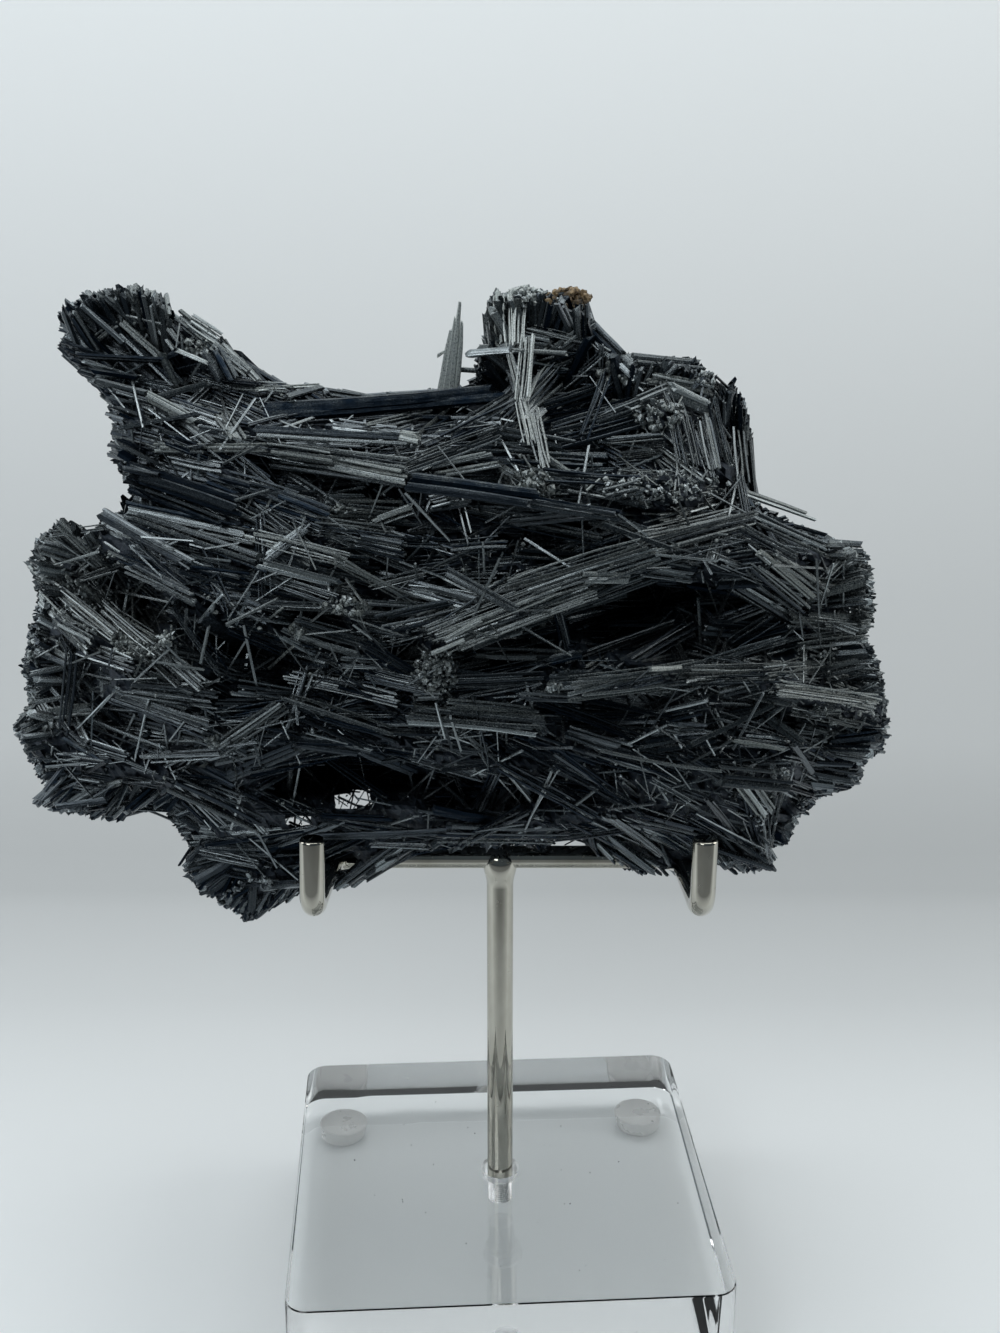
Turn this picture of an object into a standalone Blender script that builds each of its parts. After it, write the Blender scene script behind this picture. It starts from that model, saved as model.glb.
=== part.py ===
# Stibnite cluster resting on a chrome cradle, over a clear acrylic block with four bumpers.
# Metres, +Z up, +Y away from the viewer. z = 0 is the surface that the bumpers stand on.

import bmesh
import bpy
import math
import random
from mathutils import Matrix, Vector

# Stand, driving dimensions
BLOCK_SIDE = 0.0762
BLOCK_HEIGHT = 0.01905
BLOCK_CORNER_RADIUS = 0.004
BLOCK_EDGE_BEVEL = 0.0004
BLOCK_TURN = math.radians(3.44)

FOOT_RADIUS = 0.00475
FOOT_HEIGHT = 0.0035
FOOT_EDGE = 0.0008
FOOT_INSET = 0.008
FOOT_GAP = 0.0003

POST_RADIUS = 0.00238
THREAD_RADIUS = 0.0020
THREAD_DEPTH = 0.0135
COUNTERBORE_RADIUS = 0.00325
COUNTERBORE_DEPTH = 0.0035
HOLE_CLEARANCE = 0.0003

ROD_RADIUS = 0.0020
ROD_HEIGHT = 0.0865
ARM_LEFT_X = -0.0297
ARM_RIGHT_X = 0.0320
ARM_REACH = 0.0300
ARM_RISE = 0.0042
CORNER_RADIUS = 0.0050
PRONG_BEND_RADIUS = 0.0045
PRONG_TOP = 0.1030
WELD_RADIUS = 0.0030
BEAD_ABOVE_ROD = 0.0024
TOUCH_GAP = 0.0003

BLOCK_TOP = FOOT_HEIGHT + FOOT_GAP + BLOCK_HEIGHT

# Where the photograph was taken from, so that a crystal can be named by what it covers in the picture.
EYE = Vector((0.0, -0.2567, 0.20075))
EYE_PITCH = math.radians(17.1)
PICTURE_FOCUS = 1575.0
PICTURE_MIDDLE = (500.0, 666.5)

MM = 0.001
KEPT_SHARE = 0.55
SEED = 41


def seen_at(u, v, depth):
    """The point on the plane y = depth (in mm) that is seen at picture point u, v."""
    across = (u - PICTURE_MIDDLE[0]) / PICTURE_FOCUS
    down = (v - PICTURE_MIDDLE[1]) / PICTURE_FOCUS
    sight = Vector((
        across,
        math.cos(EYE_PITCH) - down * math.sin(EYE_PITCH),
        -math.sin(EYE_PITCH) - down * math.cos(EYE_PITCH),
    ))
    return EYE + sight * ((depth * MM - EYE.y) / sight.y)


# The outline in the picture, clockwise from the top of the plume
OUTLINE = [
    (60, 305), (85, 292), (135, 285), (165, 295), (225, 330), (268, 377), (320, 388), (440, 387),
    (476, 380), (478, 350), (483, 300), (493, 288), (550, 290), (590, 305), (625, 345), (700, 360),
    (722, 388), (735, 381), (752, 430), (757, 500), (815, 530), (868, 552), (875, 620), (866, 640),
    (885, 685), (888, 745), (860, 768), (858, 790), (820, 800), (790, 842), (772, 850), (772, 870),
    (715, 862), (690, 877), (620, 865), (560, 850), (500, 852), (380, 860), (325, 895), (245, 920),
    (190, 885), (182, 866), (200, 850), (172, 825), (150, 806), (110, 818), (35, 803), (13, 735),
    (28, 690), (22, 655), (37, 600), (28, 560), (60, 518), (133, 502), (108, 455), (105, 393),
    (57, 345),
]
PX_PER_MM = 6.0

# Half depth of the mass in mm at heights in the picture
HALF_DEPTH = [(285, 8), (400, 17), (500, 28), (590, 32), (700, 32), (780, 28), (850, 20), (925, 8)]
ROUNDED_OVER = 15.0

# Lumps of grown-together matrix: picture place, depth in mm, half sizes in mm, lean in degrees
LUMPS = {
    "plume": ((170, 350), 0, (13, 6, 8), 24),
    "upper_left": ((180, 450), 0, (11, 9, 17), 0),
    "saddle": ((370, 434), 0, (26, 8, 18), 0),
    "tower": ((528, 400), 1, (9, 17, 12), 4),
    "tower_shoulder": ((592, 374), 1, (9, 7, 11), 30),
    "upper_right": ((648, 430), 1, (16, 12, 18), 12),
    "right_column": ((722, 450), 1, (4, 10, 9), 0),
    "upper_band": ((350, 490), 1, (36, 7, 24), 0),
    "middle_left": ((270, 560), 0, (25, 13, 30), -14),
    "middle": ((470, 530), 0, (27, 13, 32), 0),
    "middle_right": ((670, 530), 0, (20, 10, 28), 8),
    "left_upper": ((105, 590), 0, (10, 12, 18), 0),
    "left_middle": ((118, 650), -3, (12, 13, 18), 0),
    "left_lower": ((105, 715), 0, (12, 13, 20), 0),
    "right_upper": ((796, 598), -2, (11, 14, 17), 10),
    "right_lower": ((790, 700), 1, (13, 13, 21), 0),
    "lower_left": ((290, 690), 0, (26, 13, 30), 0),
    "lower_middle": ((500, 690), 0, (28, 16, 31), 0),
    "lower_right": ((680, 690), 0, (24, 16, 30), 0),
    "behind_hollow": ((680, 610), 5, (24, 10, 23), 0),
    "rear_left": ((130, 682), 10, (12, 10, 17), 0),
    "rear_lower_left": ((300, 705), 15, (24, 10, 18), 0),
    "rear_lower_middle": ((500, 715), 16, (26, 10, 17), 0),
    "rear_lower_right": ((700, 705), 15, (22, 10, 18), 0),
    "rear_right": ((810, 670), 11, (11, 9, 17), 0),
    "bottom_middle": ((470, 800), 2, (28, 9, 22), 0),
    "bottom_right": ((715, 800), 2, (12, 9, 17), 10),
    "bottom_inner": ((335, 805), 3, (12, 9, 16), 0),
    "bottom_left": ((250, 800), 2, (13, 9, 17), -20),
    "hanging_tip": ((252, 870), 2, (7, 5, 7), 0),
}

# Hollows in the front: picture place, depth in mm, half sizes in mm
HOLLOWS = {
    "under_tower": ((590, 440), -22, (9, 6, 9)),
    "deep_right": ((665, 622), -28, (18, 7, 14)),
    "deep_left": ((375, 775), -24, (12, 5, 11)),
    "upper_slot": ((375, 492), -29, (5, 2.6, 7)),
}

# Bundles cover the mass front and rear, each lying the way that the named crystals near it do.
BUNDLE_STEP = (106, 64)
BUNDLE_LENGTH = (20, 38)
BUNDLE_WIDTH = (4.6, 8.6)
BUNDLE_THICKNESS = (3.4, 5.0)
BUNDLE_SWAY = 24.0

# Sprays of blades: the root, the tips round the outline, depths of the layers in mm, blade width in mm
SPRAYS = {
    "plume": (
        (255, 395),
        [(56, 342), (64, 306), (98, 292), (136, 286), (168, 297), (200, 320), (240, 345)],
        (-5, 7),
        3.4,
    ),
    "plume_underside": ((265, 440), [(80, 372), (106, 396), (108, 420), (109, 455)], (-12, 10), 3.6),
    "upper_left_fan": ((330, 545), [(112, 405), (112, 440), (116, 470), (132, 500)], (-19, 17), 3.8),
    "left_upper_lobe": (
        (205, 650),
        [(130, 503), (95, 513), (60, 519), (34, 545), (29, 572), (30, 622)],
        (-14, 12),
        3.2,
    ),
    "left_lower_lobe": (
        (220, 700),
        [(21, 660), (13, 726), (22, 768), (34, 803), (70, 814), (110, 818), (150, 806)],
        (-16, 14),
        3.4,
    ),
    "hanging_lobe": (
        (320, 800),
        [(172, 826), (190, 884), (216, 901), (245, 921), (280, 900), (325, 894)],
        (-5, 7),
        3.0,
    ),
    "underside": (
        (520, 770),
        [(400, 858), (460, 855), (560, 850), (622, 864), (690, 875)],
        (-8, 12),
        3.2,
    ),
    "right_foot": (
        (650, 740),
        [(716, 861), (745, 872), (775, 867), (791, 840), (820, 801), (861, 779)],
        (-12, 12),
        3.4,
    ),
    "right_lower_fan": (
        (670, 690),
        [(860, 764), (887, 746), (890, 706), (884, 684), (877, 656)],
        (-16, 14),
        3.8,
    ),
    "right_upper_fan": (
        (680, 590),
        [(870, 630), (875, 592), (867, 552), (815, 531), (780, 516)],
        (-14, 14),
        3.6,
    ),
    "right_column": (
        (735, 520),
        [(722, 394), (734, 382), (746, 402), (752, 430), (753, 478)],
        (-5, 7),
        3.0,
    ),
    "upper_right_slope": (
        (610, 480),
        [(592, 312), (626, 345), (660, 356), (701, 361), (719, 379)],
        (-10, 10),
        3.4,
    ),
    "tower": ((535, 450), [(484, 302), (495, 289), (521, 288), (548, 293), (478, 352)], (-6, 8), 3.2),
    "saddle_ends": ((420, 450), [(292, 386), (340, 391), (400, 391), (440, 388)], (-6, 9), 2.8),
}

# Single crystals on the front: start and end in the picture, their depths in mm, width and thickness in mm
CRYSTALS = {
    "saddle_blade": ((256, 401), (507, 384), -15, -13, 2.6, 1.4),
    "upper_prism": ((253, 434), (417, 438), -20, -21, 1.9, 1.9),
    "upper_flat": ((328, 455), (404, 476), -23, -24, 2.8, 1.2),
    "big_blade": ((400, 483), (644, 525), -32, -28, 3.2, 1.6),
    "long_diagonal": ((124, 512), (423, 607), -20, -33, 3.6, 1.6),
    "diagonal_two": ((100, 516), (265, 604), -17, -27, 3.0, 1.6),
    "diagonal_three": ((165, 541), (350, 584), -23, -29, 2.6, 1.4),
    "diagonal_four": ((210, 600), (395, 655), -27, -31, 2.8, 1.5),
    "fan_upper": ((112, 440), (300, 500), -18, -24, 3.0, 1.5),
    "fan_middle": ((118, 465), (330, 545), -18, -27, 3.2, 1.6),
    "tower_splinter": ((517, 338), (527, 412), -13, -17, 3.4, 2.0),
    "tower_splinter_lower": ((527, 404), (541, 492), -17, -24, 3.8, 2.4),
    "tower_bar": ((442, 367), (512, 369), -10, -9, 1.4, 1.0),
    "spike": ((446, 436), (461, 306), -5, -4, 3.8, 1.3),
    "cavity_blade": ((545, 459), (594, 487), -22, -22, 1.8, 1.2),
    "slope_blade": ((606, 352), (709, 364), -7, -4, 2.6, 1.4),
    "rib_one": ((418, 622), (645, 546), -32, -30, 3.4, 1.6),
    "rib_two": ((440, 640), (695, 541), -33, -29, 3.0, 1.5),
    "rib_three": ((470, 652), (752, 531), -33, -25, 3.0, 1.5),
    "rib_upper": ((380, 500), (520, 402), -27, -19, 2.6, 1.4),
    "striated_bundle": ((565, 691), (804, 672), -32, -27, 4.6, 2.2),
    "cut_prism": ((405, 716), (546, 727), -32, -34, 4.0, 2.4),
    "lower_bundle": ((598, 746), (792, 778), -29, -24, 4.2, 2.2),
    "lower_bundle_upper": ((640, 722), (800, 748), -29, -24, 3.0, 1.8),
    "bright_short": ((728, 735), (793, 748), -27, -25, 2.2, 1.4),
    "striated_pair": ((283, 700), (404, 737), -29, -31, 3.2, 1.6),
    "striated_pair_upper": ((262, 668), (420, 700), -28, -31, 2.8, 1.6),
    "left_bundle": ((212, 754), (296, 712), -22, -28, 2.8, 1.6),
    "bottom_blade": ((197, 857), (330, 845), -9, -12, 2.2, 1.2),
    "bottom_blade_right": ((310, 847), (565, 830), -12, -14, 2.4, 1.2),
    "block_crystal": ((800, 771), (861, 783), -11, -8, 3.2, 2.2),
    "spur": ((690, 500), (813, 519), -7, -3, 1.6, 0.9),
    "right_rib_one": ((720, 561), (872, 641), -21, -12, 3.0, 1.6),
    "right_rib_three": ((700, 640), (884, 690), -22, -9, 3.0, 1.6),
    "left_rib_one": ((48, 560), (170, 655), -14, -21, 3.2, 1.8),
    "left_rib_two": ((36, 640), (190, 690), -13, -22, 3.2, 1.8),
    "left_rib_three": ((40, 760), (170, 700), -13, -21, 3.0, 1.6),
    "left_block": ((122, 582), (165, 632), -19, -22, 4.4, 2.6),
    "standing_needle": ((290, 722), (288, 806), -28, -22, 1.4, 1.2),
    "cavity_needle": ((640, 600), (600, 660), -26, -24, 1.2, 1.0),
    "foot_crystal": ((560, 800), (700, 850), -19, -15, 2.8, 1.6),
}

# Rounder knots of small crystals: picture place, depth in mm, half sizes in mm
KNOTS = {
    "tower_top": ((516, 312), 0, (5.0, 4.0, 5.0)),
    "ochre_lump": ((568, 303), 0, (4.4, 2.4, 3.6)),
    "pale_crumbs": ((662, 492), -24, (8.0, 4.0, 5.0)),
    "pale_blocks": ((664, 414), -16, (4.0, 3.0, 3.5)),
    "fuzzy_knot": ((438, 672), -31, (4.6, 3.4, 3.6)),
    "lumpy_ledge": ((345, 607), -31, (6.0, 2.2, 3.2)),
    "column_knot": ((541, 484), -26, (2.8, 2.6, 2.6)),
    "prong_knot": ((700, 790), -22, (5.0, 4.0, 4.0)),
}

# How much of its length a crystal's point takes, where it is not blunt
POINTED = {"spike": 0.75, "spur": 0.6, "tower_splinter": 0.3, "standing_needle": 0.3}

# The rear was not seen: its larger crystals mirror the front ones through the depth, moved a little.
REAR_SHIFT = 5.0
REAR_LENGTH = (0.7, 1.0)
FRONT_ONLY = (
    "spike", "spur", "tower_bar", "bottom_blade", "bottom_blade_right", "block_crystal", "saddle_blade",
    "slope_blade",
)


def clear_scene():
    for thing in list(bpy.data.objects):
        bpy.data.objects.remove(thing)


def new_collection(name, hidden=False):
    made = bpy.data.collections.new(name)
    bpy.context.scene.collection.children.link(made)
    made.hide_render = hidden
    return made


def principled(name, colour, roughness, metallic=0.0, transmission=0.0, ior=1.5):
    material = bpy.data.materials.new(name)
    material.use_nodes = True
    shader = material.node_tree.nodes["Principled BSDF"]
    shader.inputs["Base Color"].default_value = (*colour, 1.0)
    shader.inputs["Roughness"].default_value = roughness
    shader.inputs["Metallic"].default_value = metallic
    shader.inputs["Transmission Weight"].default_value = transmission
    shader.inputs["IOR"].default_value = ior
    return material


def object_from(bm, name, collection, material=None, guide=False):
    mesh = bpy.data.meshes.new(name)
    bm.to_mesh(mesh)
    bm.free()
    made = bpy.data.objects.new(name, mesh)
    collection.objects.link(made)
    if material:
        mesh.materials.append(material)
    if guide:
        made.hide_render = True
        made.display_type = "WIRE"
    return made


def boolean(target, operation, operand):
    modifier = target.modifiers.new(operation.lower(), "BOOLEAN")
    modifier.operation = operation
    modifier.solver = "EXACT"
    if isinstance(operand, bpy.types.Collection):
        modifier.operand_type = "COLLECTION"
        modifier.collection = operand
    else:
        modifier.object = operand
    return modifier


def evaluated_mesh(thing):
    graph = bpy.context.evaluated_depsgraph_get()
    return bpy.data.meshes.new_from_object(thing.evaluated_get(graph))


# Stand


def make_block(parts, cutters, material):
    bm = bmesh.new()
    bmesh.ops.create_cube(bm, size=1.0)
    bmesh.ops.scale(bm, vec=(BLOCK_SIDE, BLOCK_SIDE, BLOCK_HEIGHT), verts=bm.verts)
    uprights = [e for e in bm.edges if abs(e.verts[0].co.z - e.verts[1].co.z) > BLOCK_HEIGHT / 2]
    bmesh.ops.bevel(bm, geom=uprights, offset=BLOCK_CORNER_RADIUS, segments=4, affect="EDGES", profile=0.5)
    rims = [e for e in bm.edges if e.calc_face_angle() > math.radians(60)]
    bmesh.ops.bevel(bm, geom=rims, offset=BLOCK_EDGE_BEVEL, segments=1, affect="EDGES")
    block = object_from(bm, "acrylic_block", parts, material)
    block.location.z = FOOT_HEIGHT + FOOT_GAP + BLOCK_HEIGHT / 2
    block.rotation_euler.z = BLOCK_TURN

    hole = bmesh.new()
    widest = COUNTERBORE_RADIUS
    narrow = THREAD_RADIUS + HOLE_CLEARANCE
    bottom = BLOCK_TOP - THREAD_DEPTH - HOLE_CLEARANCE
    above = 0.001
    ring = [(0.0, bottom), (narrow, bottom), (narrow, BLOCK_TOP - COUNTERBORE_DEPTH),
            (widest, BLOCK_TOP - COUNTERBORE_DEPTH), (widest, BLOCK_TOP + above), (0.0, BLOCK_TOP + above)]
    turn_profile(hole, ring, 24)
    cutter = object_from(hole, "post_hole", cutters, guide=True)
    boolean(block, "DIFFERENCE", cutter)
    return block


def turn_profile(bm, profile, steps):
    """Spins an (r, z) profile that starts and ends on the axis into a closed solid."""
    points = [bm.verts.new((r, 0.0, z)) for r, z in profile]
    edges = [bm.edges.new(pair) for pair in zip(points, points[1:])]
    bmesh.ops.spin(
        bm, geom=points + edges, cent=(0, 0, 0), axis=(0, 0, 1), angle=2 * math.pi, steps=steps,
        use_merge=True,
    )
    bmesh.ops.remove_doubles(bm, verts=bm.verts, dist=1e-6)
    bmesh.ops.recalc_face_normals(bm, faces=bm.faces)


def make_feet(parts, material):
    """Round bumpers, a little narrower at the floor, with a rounded lower edge and a flat underside."""
    reach = BLOCK_SIDE / 2 - FOOT_INSET
    narrow = FOOT_RADIUS * 0.94
    profile = [(0.0, FOOT_HEIGHT), (FOOT_RADIUS, FOOT_HEIGHT), (narrow, FOOT_EDGE)]
    for step in range(1, 4):
        turn = math.pi / 2 * step / 3
        profile.append((narrow - FOOT_EDGE * (1 - math.cos(turn)), FOOT_EDGE * (1 - math.sin(turn))))
    profile.append((0.0, 0.0))
    feet = []
    for end, y in (("front", -reach), ("rear", reach)):
        for side, x in (("left", -reach), ("right", reach)):
            bm = bmesh.new()
            turn_profile(bm, profile, 16)
            foot = object_from(bm, f"foot_{end}_{side}", parts, material)
            foot.location = Matrix.Rotation(BLOCK_TURN, 4, "Z") @ Vector((x, y, 0.0))
            foot.data.shade_smooth()
            foot.data.set_sharp_from_angle(angle=math.radians(40))
            feet.append(foot)
    return feet


def rounded_path(corners, radii, steps):
    """A poly line through the corners, with an arc of the given radius at each inner one."""
    points = [corners[0]]
    for before, corner, after, radius in zip(corners, corners[1:], corners[2:], radii):
        toward = (before - corner).normalized()
        onward = (after - corner).normalized()
        half = toward.angle(onward) / 2
        set_back = radius / math.tan(half)
        middle = corner + (toward + onward).normalized() * (radius / math.sin(half))
        first = corner + toward * set_back - middle
        last = corner + onward * set_back - middle
        sweep = first.angle(last)
        normal = first.cross(last).normalized()
        for i in range(steps + 1):
            points.append(middle + Matrix.Rotation(sweep * i / steps, 3, normal) @ first)
    points.append(corners[-1])
    return points


def rod_path():
    """From the left prong's tip, down and back along the arm, across, and up the right prong."""
    front_z = ROD_HEIGHT + ARM_RISE
    corners = [
        Vector((ARM_LEFT_X + 0.0004, -ARM_REACH, PRONG_TOP)),
        Vector((ARM_LEFT_X, -ARM_REACH, front_z)),
        Vector((ARM_LEFT_X, 0.0, ROD_HEIGHT)),
        Vector((ARM_RIGHT_X, 0.0, ROD_HEIGHT)),
        Vector((ARM_RIGHT_X, -ARM_REACH, front_z)),
        Vector((ARM_RIGHT_X, -ARM_REACH, PRONG_TOP)),
    ]
    radii = [PRONG_BEND_RADIUS, CORNER_RADIUS, CORNER_RADIUS, PRONG_BEND_RADIUS]
    return rounded_path(corners, radii, 5)


def make_rod(name, points, radius, collection, material=None, guide=False):
    """A round rod along the points, made from a curve and then a mesh with its caps welded."""
    curve = bpy.data.curves.new(name + "_line", "CURVE")
    curve.dimensions = "3D"
    curve.bevel_depth = radius
    curve.bevel_resolution = 3
    curve.use_fill_caps = True
    spline = curve.splines.new("POLY")
    spline.points.add(len(points) - 1)
    for place, point in zip(spline.points, points):
        place.co = (*point, 1.0)
    line = bpy.data.objects.new(name + "_line", curve)
    collection.objects.link(line)
    bpy.context.view_layer.update()
    bm = bmesh.new()
    bm.from_mesh(evaluated_mesh(line))
    bpy.data.objects.remove(line)
    bmesh.ops.remove_doubles(bm, verts=bm.verts, dist=1e-6)
    bmesh.ops.recalc_face_normals(bm, faces=bm.faces)
    rod = object_from(bm, name, collection, material, guide)
    rod.data.shade_smooth()
    rod.data.set_sharp_from_angle(angle=math.radians(40))
    return rod


def make_post(parts, cutters, material):
    """Threaded end, shaft and the rounded weld bead, which is notched to clear the crossbar."""
    foot = BLOCK_TOP - THREAD_DEPTH
    shoulder = BLOCK_TOP - COUNTERBORE_DEPTH + TOUCH_GAP
    profile = [(0.0, foot), (THREAD_RADIUS * 0.8, foot), (THREAD_RADIUS, foot + 0.0005),
               (THREAD_RADIUS, shoulder), (POST_RADIUS, shoulder)]
    bead_top = ROD_HEIGHT + BEAD_ABOVE_ROD
    bead_middle = bead_top - WELD_RADIUS
    profile.append((POST_RADIUS, bead_middle - WELD_RADIUS * 0.8))
    for i in range(6):
        turn = math.pi / 2 * i / 6
        profile.append((WELD_RADIUS * math.cos(turn), bead_middle + WELD_RADIUS * math.sin(turn)))
    profile.append((0.0, bead_top))
    bm = bmesh.new()
    turn_profile(bm, profile, 16)
    post = object_from(bm, "post", parts, material)
    post.data.shade_smooth()
    post.data.set_sharp_from_angle(angle=math.radians(40))
    across = [Vector((-0.01, 0, ROD_HEIGHT)), Vector((0.01, 0, ROD_HEIGHT))]
    notch = make_rod("weld_notch", across, ROD_RADIUS + TOUCH_GAP, cutters, guide=True)
    boolean(post, "DIFFERENCE", notch)
    return post


# Crystal cluster


def add_lump(collection, name, centre, half_sizes, lean, rng, rough=0.13):
    bm = bmesh.new()
    bmesh.ops.create_icosphere(bm, subdivisions=1, radius=1.0)
    for vert in bm.verts:
        vert.co *= 1.0 + rng.uniform(-rough, rough)
    width, height, depth = (size * MM for size in half_sizes)
    place = (
        Matrix.Translation(centre)
        @ Matrix.Rotation(math.radians(lean), 4, "Y")
        @ Matrix.Diagonal((width, depth, height, 1.0))
        @ Matrix.Rotation(rng.uniform(0, math.pi), 4, "Z")
    )
    bmesh.ops.transform(bm, matrix=place, verts=bm.verts)
    return object_from(bm, name, collection, guide=True)


def add_crystal(collection, name, start, end, width, thickness, rng, sides=6, point=0.12, taper=0.86):
    """A flattened prism from start to end, drawn in a little and with a low point at its end."""
    along = end - start
    body = along.length * (1.0 - point)
    bm = bmesh.new()
    bmesh.ops.create_cone(
        bm, cap_ends=True, segments=sides, radius1=0.5, radius2=0.5 * taper, depth=body,
        matrix=Matrix.Translation((0, 0, body / 2)),
    )
    top = max(bm.faces, key=lambda face: face.calc_center_median().z)
    bmesh.ops.poke(bm, faces=[top], offset=along.length * point)
    toward_viewer = Vector((rng.uniform(-0.3, 0.3), 1.0, rng.uniform(-0.3, 0.3)))
    flat = along.normalized().cross(toward_viewer).normalized()
    thin = along.normalized().cross(flat)
    frame = Matrix((flat * width * MM, thin * thickness * MM, along.normalized())).transposed().to_4x4()
    bmesh.ops.transform(bm, matrix=Matrix.Translation(start) @ frame, verts=bm.verts)
    bmesh.ops.recalc_face_normals(bm, faces=bm.faces)
    return object_from(bm, name, collection, guide=True)


def add_sprays(collection, rng):
    """Blades from a common root to each tip of the outline, in layers through the depth."""
    for name, (root, tips, layers, width) in SPRAYS.items():
        middle = Vector((sum(u for u, v in tips) / len(tips), sum(v for u, v in tips) / len(tips)))
        for count, (u, v) in enumerate(tips):
            start_uv = Vector(root) + (Vector((u, v)) - middle) * 0.35
            for layer, depth in enumerate((layers[count % 2], sum(layers) / 2 - layers[count % 2] * 0.2)):
                tip_depth = depth + rng.uniform(-4, 4)
                tip_uv = Vector((u, v)).lerp(start_uv, 0.06 * layer)
                blade_width = width * rng.uniform(1.0, 1.6)
                add_crystal(
                    collection, f"{name}_{count}_{layer}", seen_at(start_uv.x, start_uv.y, depth * 0.6),
                    seen_at(tip_uv.x, tip_uv.y, tip_depth), blade_width,
                    blade_width * rng.uniform(0.45, 0.7), rng, sides=4, point=0.1, taper=0.7,
                )


def add_single_crystals(collection, rng):
    for count, (name, sizes) in enumerate(CRYSTALS.items()):
        start, end, start_depth, end_depth, width, thickness = sizes
        low = seen_at(*start, start_depth)
        high = seen_at(*end, end_depth)
        point = POINTED.get(name, 0.04)
        add_crystal(collection, name, low, high, width, thickness, rng, sides=5, point=point)
        if count % 3 or name in FRONT_ONLY:
            continue
        middle = (low + high) / 2
        shift = Vector((rng.uniform(-1, 1), rng.uniform(-0.3, 0.1), rng.uniform(-1, 1))) * REAR_SHIFT * MM
        half = (high - low) / 2 * rng.uniform(*REAR_LENGTH)
        flip = Vector((1, -0.92, 1))
        turned = Matrix.Rotation(rng.uniform(-0.25, 0.25), 3, "Y") @ half
        behind = Vector((middle.x, -middle.y * 0.92, middle.z)) + shift
        add_crystal(
            collection, name + "_rear", behind - turned * flip, behind + turned * flip,
            width * 1.15, thickness * 1.1, rng, sides=5, point=0.05,
        )


def outline_room(u, v):
    """How far inside the outline a picture point is, in mm; below zero outside it."""
    inside = False
    nearest = 1e9
    for (au, av), (bu, bv) in zip(OUTLINE, OUTLINE[1:] + OUTLINE[:1]):
        if (av > v) != (bv > v) and u < (bu - au) * (v - av) / (bv - av) + au:
            inside = not inside
        side = Vector((bu - au, bv - av))
        share = max(0.0, min(1.0, (Vector((u - au, v - av)) @ side) / side.length_squared))
        nearest = min(nearest, (Vector((u, v)) - Vector((au, av)) - side * share).length)
    return nearest / PX_PER_MM * (1 if inside else -1)


def half_depth(u, v):
    """Half the mass's depth at a picture point, rounded over towards the outline, in mm."""
    for (low_v, low), (high_v, high) in zip(HALF_DEPTH, HALF_DEPTH[1:]):
        if v <= high_v:
            break
    share = max(0.0, min(1.0, (v - low_v) / (high_v - low_v)))
    full = low + (high - low) * share
    over = 1.0 - max(0.0, min(1.0, outline_room(u, v) / ROUNDED_OVER))
    return full * math.sqrt(1.0 - 0.85 * over * over)


def lie_of_crystals(u, v):
    """The direction in the picture that the named crystals near a point share."""
    total = Vector((0.0, 0.0))
    for start, end, *_ in CRYSTALS.values():
        along = Vector(end) - Vector(start)
        away = (Vector((u, v)) - (Vector(start) + Vector(end)) / 2).length
        angle = 2 * math.atan2(along.y, along.x)
        total += Vector((math.cos(angle), math.sin(angle))) * along.length / (away * away + 900.0)
    angle = math.atan2(total.y, total.x) / 2
    return Vector((math.cos(angle), math.sin(angle)))


def in_hollow(u, v):
    return any(
        ((u - place[0]) / (sizes[0] * PX_PER_MM)) ** 2 + ((v - place[1]) / (sizes[1] * PX_PER_MM)) ** 2 < 0.7
        for place, depth, sizes in HOLLOWS.values()
    )


def reach_inside(centre, along, most):
    """The picture point reached from the centre, at most this many mm away, without leaving the outline."""
    reached = centre
    for step in range(1, int(most) + 1):
        following = centre + along * step * PX_PER_MM
        if outline_room(*following) < 2.2:
            break
        reached = following
    return reached


def add_bundles(collection, rng, side):
    """Thick bundles over the front (side -1) or the rear (side 1)."""
    rows = range(300, 900, BUNDLE_STEP[1])
    columns = range(40, 880, BUNDLE_STEP[0])
    for row, v in enumerate(rows):
        for column, u in enumerate(columns):
            sway = Vector((rng.uniform(-0.35, 0.35) + 0.5 * (row % 2), rng.uniform(-0.3, 0.3)))
            centre = Vector((u + sway.x * BUNDLE_STEP[0], v + sway.y * BUNDLE_STEP[1]))
            turn = math.radians(rng.uniform(-BUNDLE_SWAY, BUNDLE_SWAY))
            length = rng.uniform(*BUNDLE_LENGTH)
            sizes = rng.uniform(*BUNDLE_WIDTH), rng.uniform(*BUNDLE_THICKNESS)
            if outline_room(*centre) < 2.5 or (side < 0 and in_hollow(*centre)):
                continue
            along = Matrix.Rotation(turn, 2) @ lie_of_crystals(*centre)
            ends = [reach_inside(centre, along, length / 2), reach_inside(centre, -along, length / 2)]
            if (ends[0] - ends[1]).length < 8 * PX_PER_MM:
                continue
            low, high = (
                seen_at(end.x, end.y, side * (half_depth(*end) - sizes[1] * 0.6)) for end in ends
            )
            add_crystal(
                collection, f"bundle_{side}_{row}_{column}", low, high, *sizes, rng, sides=5, point=0.05
            )


def add_core(collection, rng):
    for name, (place, depth, half_sizes, lean) in LUMPS.items():
        add_lump(collection, name, seen_at(*place, depth), half_sizes, lean, rng)


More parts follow.
